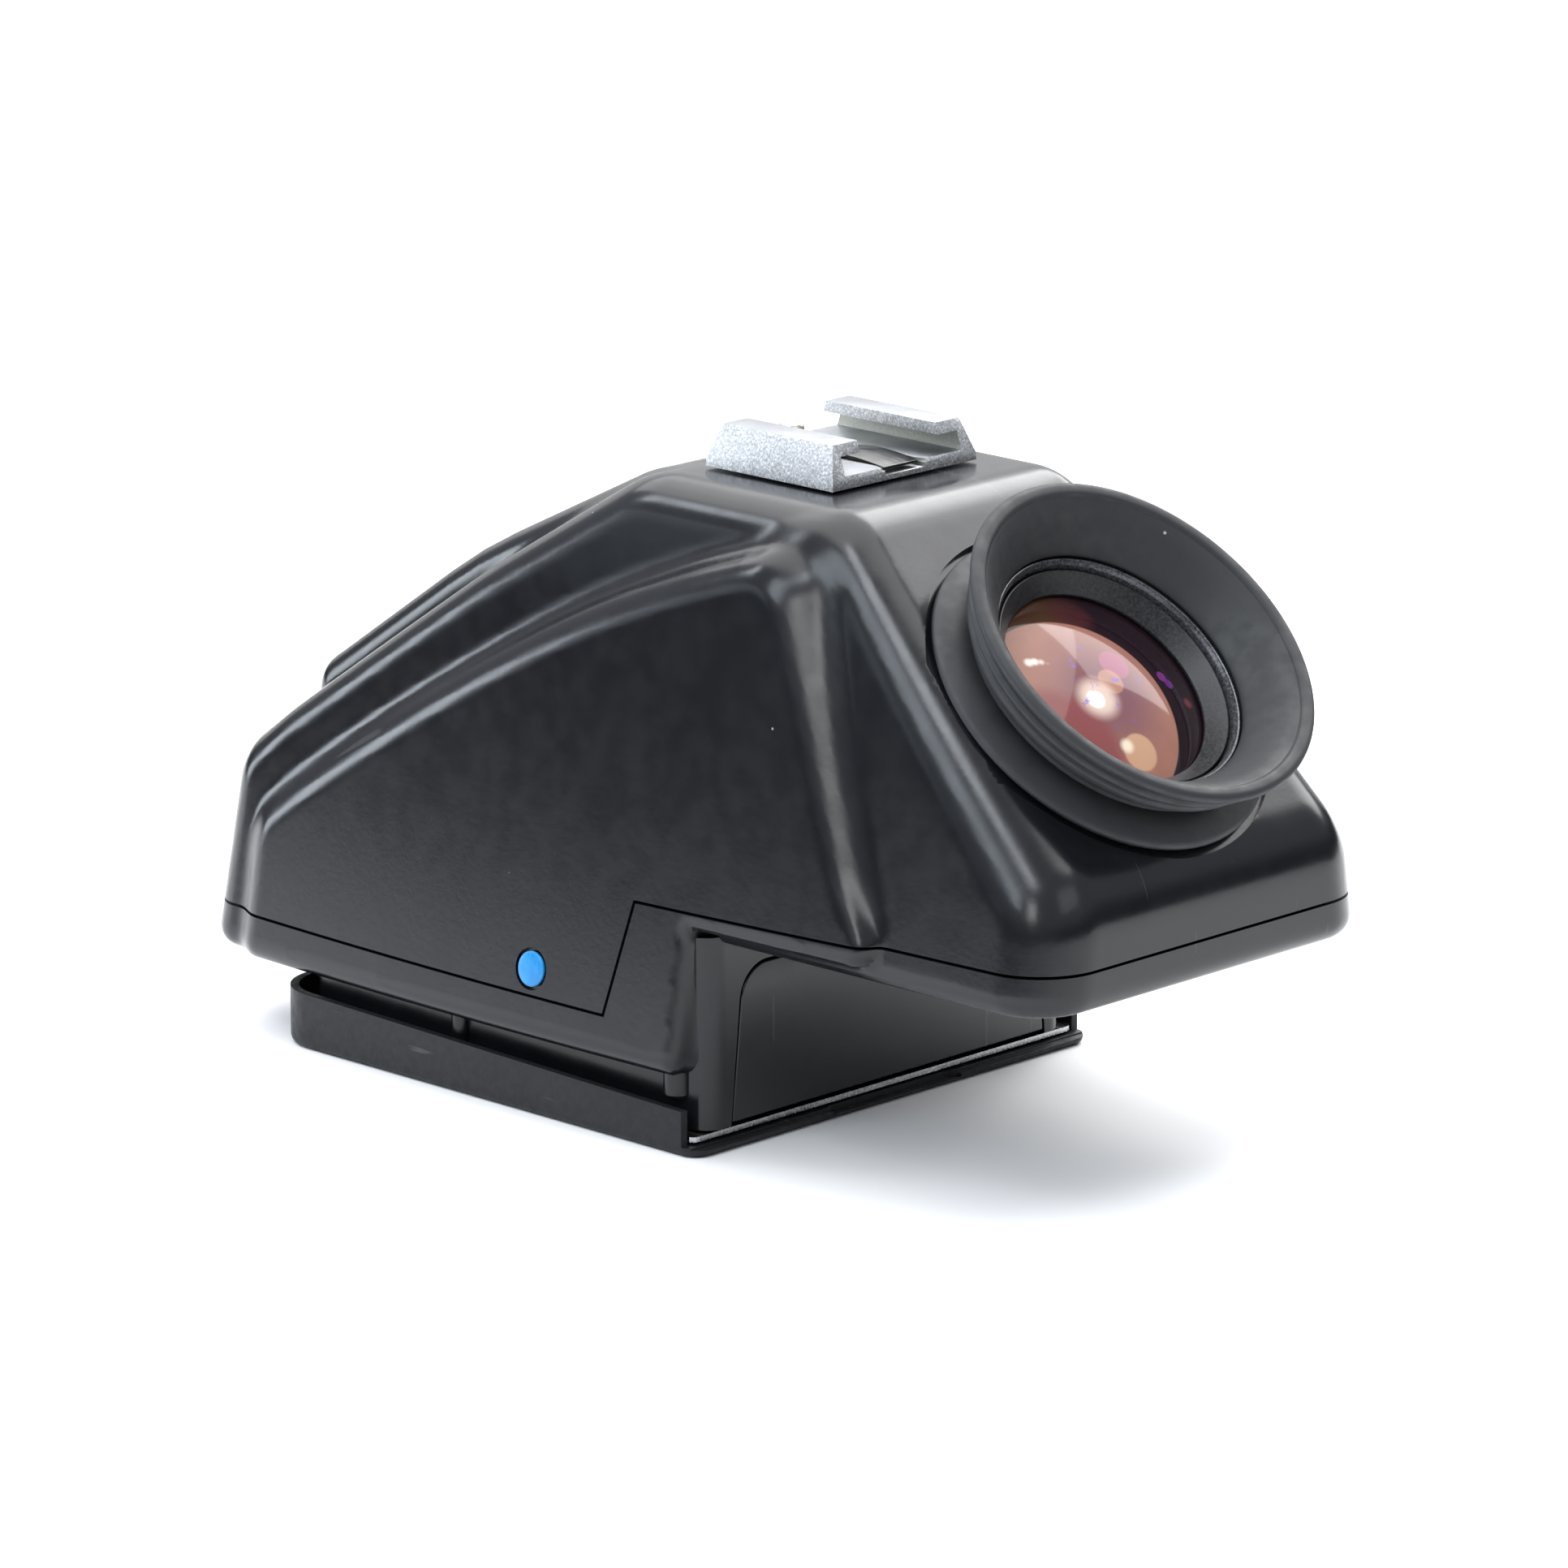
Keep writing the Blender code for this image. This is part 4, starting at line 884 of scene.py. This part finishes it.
def lens_look():
    """Coated glass with painted light: a pale, peach-tinted painted reflection in the coating low on one
    side, with painted glints, and beyond it a deep maroon painted shade of the unlit inside.
    """
    look = Look("coated_glass")

    def near(x, u, s, radius, soft):
        """1 within a soft-edged ball, placed across, up and along the eyepiece's axis."""
        centre = (EYE_FOOT + EYE_AXIS * s + EYE_UP * u + Vector((x, 0, 0))) * MM
        node = look.nodes.new("ShaderNodeVectorMath")
        node.operation = "DISTANCE"
        look.links.new(look.coords, node.inputs[0])
        node.inputs[1].default_value = centre
        return look.span(node.outputs["Value"], (radius - soft) * MM, (radius + soft) * MM, 1.0, 0.0)

    def layered(tone, painted_spots):
        for x, u, s, radius, soft, share, colour in painted_spots:
            tone = look.mix(look.math("MULTIPLY", near(x, u, s, radius, soft), share), tone, colour)
        return tone

    # Painted reflection: a pale, peach-tinted reflection of a bright lamp low on one side, mottled darker
    # in places
    reflection_mottle = look.span(look.noise(150.0, 3.0), 0.3, 0.7)
    painted_reflection = look.mix(near(-2.0, -1.5, 2.9, 6.0, 4.0), (0.36, 0.165, 0.115), (0.185, 0.085, 0.105))
    painted_reflection = look.mix(look.math("MULTIPLY", reflection_mottle, 0.35), painted_reflection, (0.22, 0.085, 0.08))
    # Painted glints: small bright reflections of lamps and of the inner coatings, painted as colour over
    # the painted reflection
    painted_lens_glints = (
        (-13.5, -7.0, 0.0, 9.5, 1.2, 0.75, (0.24, 0.055, 0.06)),
        (1.4, 1.5, 3.2, 1.9, 0.15, 0.6, (0.42, 0.12, 0.22)),
        (-0.7, -0.4, 3.4, 1.6, 0.15, 0.6, (0.52, 0.27, 0.17)),
        (-2.0, -9.0, 2.2, 2.2, 0.2, 0.7, (0.66, 0.40, 0.24)),
        (-3.4, -7.9, 2.2, 0.8, 0.4, 1.0, (0.85, 0.72, 0.55)),
        (-8.6, 5.0, 2.3, 0.5, 0.3, 1.0, (0.88, 0.78, 0.70)),
        (-7.9, 4.8, 2.3, 0.42, 0.3, 1.0, (0.88, 0.78, 0.70)),
        (-7.2, 4.45, 2.3, 0.32, 0.3, 1.0, (0.88, 0.78, 0.70)),
        (-6.6, 4.0, 2.3, 0.22, 0.3, 1.0, (0.88, 0.78, 0.70)),
        (-3.7, -1.8, 3.2, 2.3, 1.0, 0.8, (0.80, 0.62, 0.52)),
        (-4.1, -1.9, 3.2, 1.05, 0.3, 1.0, (1.0, 0.97, 0.92)),
    )
    painted_reflection = layered(painted_reflection, painted_lens_glints)
    # Painted reflection: bluish-purple glints of the coating, as specks over a soft patch
    reflection_flecks = look.span(look.noise(620.0, 4.0, 0.7), 0.60, 0.68)
    violet_reflection = look.math("MULTIPLY", near(-2.0, 0.6, 3.2, 5.5, 2.0), reflection_flecks)
    painted_reflection = look.mix(look.math("MULTIPLY", violet_reflection, 0.7), painted_reflection, (0.16, 0.11, 0.55))
    # Painted shade of the unlit inside: deep maroon, paler where a painted reflection lies high up, with
    # faint painted glints
    deep = look.mix(near(-4.0, 11.4, 1.5, 5.5, 3.5), (0.014, 0.006, 0.010), (0.060, 0.026, 0.014))
    faint_painted_lens_glints = (
        (1.5, 9.2, 1.8, 2.6, 0.8, 0.5, (0.075, 0.018, 0.022)),
        (7.6, -1.0, 2.4, 0.75, 0.1, 0.8, (0.19, 0.03, 0.20)),
        (8.1, -2.0, 2.4, 0.65, 0.1, 0.7, (0.14, 0.03, 0.22)),
        (9.6, -4.6, 2.0, 0.6, 0.3, 0.5, (0.26, 0.05, 0.07)),
    )
    deep = layered(deep, faint_painted_lens_glints)
    # Painted reflection inside a sharp-edged circle, painted shade of the inside beyond it
    look.colour(look.mix(near(-6.2, -2.6, 2.4, 12.3, 0.12), deep, painted_reflection))
    look.set(Roughness=0.08, Coat_Weight=0.3, Coat_Roughness=0.02, Coat_IOR=1.5, Specular_IOR_Level=0.15)
    look.bump(look.noise(90.0, 1.0), 0.02, 0.00003)
    return look.material


def plain_look(name, dark, light, rough, scale, **values):
    """Evenly mottled surface for small and inner parts."""
    look = Look(name)
    look.colour(look.mix(look.span(look.noise(scale, 4.0), 0.35, 0.65), dark, light))
    look.roughness(look.span(look.noise(scale * 4, 2.0), 0.3, 0.7, rough * 0.9, rough * 1.1))
    look.bump(look.noise(scale * 6, 2.0), 0.1, 0.00003)
    look.set(**values)
    return look.material


def make_object():
    paint = paint_look()
    rubber = rubber_look()
    plastic = plastic_look()
    dark, light = (0.016, 0.016, 0.018), (0.045, 0.045, 0.048)
    anodised = metal_look("black_anodised", dark, light, 0.42, 3200.0, 0.3, metallic=0.35)
    dark, light = (0.07, 0.072, 0.08), (0.18, 0.18, 0.19)
    rim = metal_look("rim_anodised", dark, light, 0.32, 3200.0, 0.12, metallic=0.7)
    blasted = blasted_look()
    dark, light = (0.42, 0.42, 0.43), (0.66, 0.66, 0.67)
    steel = metal_look("steel", dark, light, 0.26, 900.0, 0.15, (2500.0, 60.0, 2500.0))
    dark, light = (0.07, 0.068, 0.065), (0.15, 0.145, 0.14)
    dark_spring = metal_look("spring_steel", dark, light, 0.2, 900.0, 0.1, (1500.0, 60.0, 1500.0))
    brass = metal_look("brass", (0.70, 0.62, 0.46), (0.88, 0.81, 0.66), 0.24, 1500.0, 0.12)
    glass = lens_look()
    dark, light = (0.80, 0.86, 0.86), (0.88, 0.92, 0.92)
    clear = plain_look("clear_glass", dark, light, 0.05, 80.0, Transmission_Weight=0.9)
    inner = plain_look("inner_glass", (0.35, 0.20, 0.24), (0.45, 0.28, 0.30), 0.06, 80.0, Coat_Weight=1.0)
    cork = plain_look("cork", (0.30, 0.19, 0.10), (0.48, 0.33, 0.20), 0.85, 900.0)
    blue = plain_look("blue_enamel", (0.006, 0.20, 0.52), (0.01, 0.26, 0.62), 0.3, 400.0)

    make_shells(paint)
    make_cover(plastic)
    make_cup(rubber)
    make_ring(rubber)
    make_barrel(rim)
    make_cell(anodised)
    make_eye_lens(glass)
    make_shoe(blasted)
    make_spring(dark_spring)
    make_stop_pin(brass)
    make_panel(paint)
    make_mark(blue)
    make_screws(steel)

    kept = (  # nodes shown as they are in the frame, with a look of their own
        (cork, ("prism_pad_left", "prism_pad_right")),
        (clear, ("prism",)),
        (inner, ("middle_lens", "front_lens")),
        (anodised, ("screen_frame", "prism_clamp", "lens_spacer_1", "lens_spacer_2", "retaining_ring")),
        (steel, ("base_plate", "dioptre_pin", "shoe_screw_1", "shoe_screw_2")),
        (steel, ("barrel_screw_1", "barrel_screw_2", "barrel_screw_3")),
    )
    for look, names in kept:
        for name in names:
            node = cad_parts[name]
            node.data.materials.clear()
            node.data.materials.append(look)


# Studio


def area_light(name, at, width, height, radiance, tint=NEUTRAL, to=(0.0, 0.0, 0.05)):
    """Rectangular lamp aimed at the object, or elsewhere, with its brightness as radiance."""
    data = bpy.data.lights.new(name, "AREA")
    data.shape = "RECTANGLE"
    data.size = width
    data.size_y = height
    data.energy = radiance * math.pi * width * height
    data.color = tint
    lamp = bpy.data.objects.new(name, data)
    lamp.location = at
    lamp.rotation_mode = "QUATERNION"
    lamp.rotation_quaternion = (Vector(to) - Vector(at)).to_track_quat("-Z", "Y")
    lamp.visible_camera = False
    bpy.context.scene.collection.objects.link(lamp)


def make_world():
    """Dim at the horizon, so that flanks stay dark, pale above it, and white below the table's edge."""
    world = bpy.data.worlds.new("studio")
    world.use_nodes = True
    nodes = world.node_tree.nodes
    links = world.node_tree.links
    split = nodes.new("ShaderNodeSeparateXYZ")
    rise = nodes.new("ShaderNodeMapRange")
    lowest, highest = -0.2, 0.4
    rise.inputs["From Min"].default_value = lowest
    rise.inputs["From Max"].default_value = highest
    ramp = nodes.new("ShaderNodeValToRGB")
    ramp.color_ramp.interpolation = "EASE"
    dark = (0.030, 0.032, 0.036, 1.0)
    bands = ((-0.15, (1.0, 1.0, 1.0, 1.0)), (-0.11, dark), (0.05, dark), (0.34, (0.50, 0.53, 0.58, 1.0)))
    while len(ramp.color_ramp.elements) < len(bands):
        ramp.color_ramp.elements.new(0.5)
    for element, (height, colour) in zip(ramp.color_ramp.elements, bands):
        element.position = (height - lowest) / (highest - lowest)
        element.color = colour
    links.new(nodes.new("ShaderNodeTexCoord").outputs["Generated"], split.inputs[0])
    links.new(split.outputs["Z"], rise.inputs["Value"])
    links.new(rise.outputs["Result"], ramp.inputs["Fac"])
    links.new(ramp.outputs["Color"], nodes["Background"].inputs["Color"])
    bpy.context.scene.world = world


def make_floor():
    """Pale oval table top, long in the line of sight and narrow across it."""
    profile = [(0.02, -4.0), (940.0, -4.0), (946.0, -2.0), (940.0, 0.0), (0.02, 0.0)]
    floor = turned("floor", profile, upright(0.0, 0.0), 96, False)
    co = np.empty(len(floor.data.vertices) * 3, np.float32)
    floor.data.vertices.foreach_get("co", co)
    co = co.reshape(-1, 3) * MM
    along = (co[:, 0] + co[:, 1]) / math.sqrt(2)
    sideways = (co[:, 1] - co[:, 0]) / math.sqrt(2) * FLOOR_WIDTH_SHARE
    co[:, 0] = (along - sideways) / math.sqrt(2)
    co[:, 1] = (along + sideways) / math.sqrt(2)
    floor.data.vertices.foreach_set("co", co.ravel())
    look = Look("white_sweep")
    look.colour(look.mix(look.span(look.noise(8.0, 2.0), 0.3, 0.7), (0.86, 0.86, 0.87), (0.88, 0.88, 0.88)))
    look.set(Roughness=0.6)
    floor.data.materials.append(look.material)


def make_lights():
    area_light("overhead", (0.25, 0.35, 1.0), 1.5, 1.8, 3.0, to=(0.15, 0.2, 0.0))
    area_light("behind", (1.0, 1.0, 0.40), 1.8, 0.8, 0.9)
    area_light("right_high", (1.0, 0.1, 0.75), 0.9, 0.8, 4.6)
    area_light("front_left", (-0.5, 1.2, 0.20), 0.34, 0.44, 7.5, (0.84, 0.92, 1.0))
    area_light("left_high", (-0.95, 0.1, 0.72), 0.34, 0.46, 5.5, (0.82, 0.91, 1.0))
    area_light("left_top", (-0.63, -0.2, 0.95), 0.26, 0.34, 10.0, (0.9, 0.95, 1.0))
    area_light("left_strip", (-1.04, -0.40, 0.58), 0.26, 0.30, 6.0)
    area_light("ridge_left", (-0.50, 0.93, 0.90), 0.22, 0.30, 9.0, (0.85, 0.93, 1.0))
    area_light("left_low", (-0.80, 0.74, 0.32), 0.7, 0.26, 0.9, (0.78, 0.88, 1.0))
    area_light("camera_side", (-0.1, -1.2, 0.9), 0.8, 0.5, 1.2)


def make_camera():
    data = bpy.data.cameras.new("camera")
    data.lens = LENS
    data.sensor_width = SENSOR
    data.clip_start = 0.05
    data.clip_end = 20.0
    camera = bpy.data.objects.new("camera", data)
    level = math.cos(CAMERA_ELEVATION)
    sideways = math.sin(CAMERA_AZIMUTH) * level
    back = Vector((sideways, -math.cos(CAMERA_AZIMUTH) * level, math.sin(CAMERA_ELEVATION)))
    camera.location = CAMERA_TARGET + back * CAMERA_DISTANCE
    camera.rotation_mode = "QUATERNION"
    camera.rotation_quaternion = (-back).to_track_quat("-Z", "Y")
    bpy.context.scene.collection.objects.link(camera)
    bpy.context.scene.camera = camera


def make_studio():
    bpy.context.scene.view_settings.view_transform = "Standard"
    bpy.context.scene.view_settings.look = "None"
    make_world()
    make_floor()
    make_lights()
    make_camera()


make_object()
make_studio()
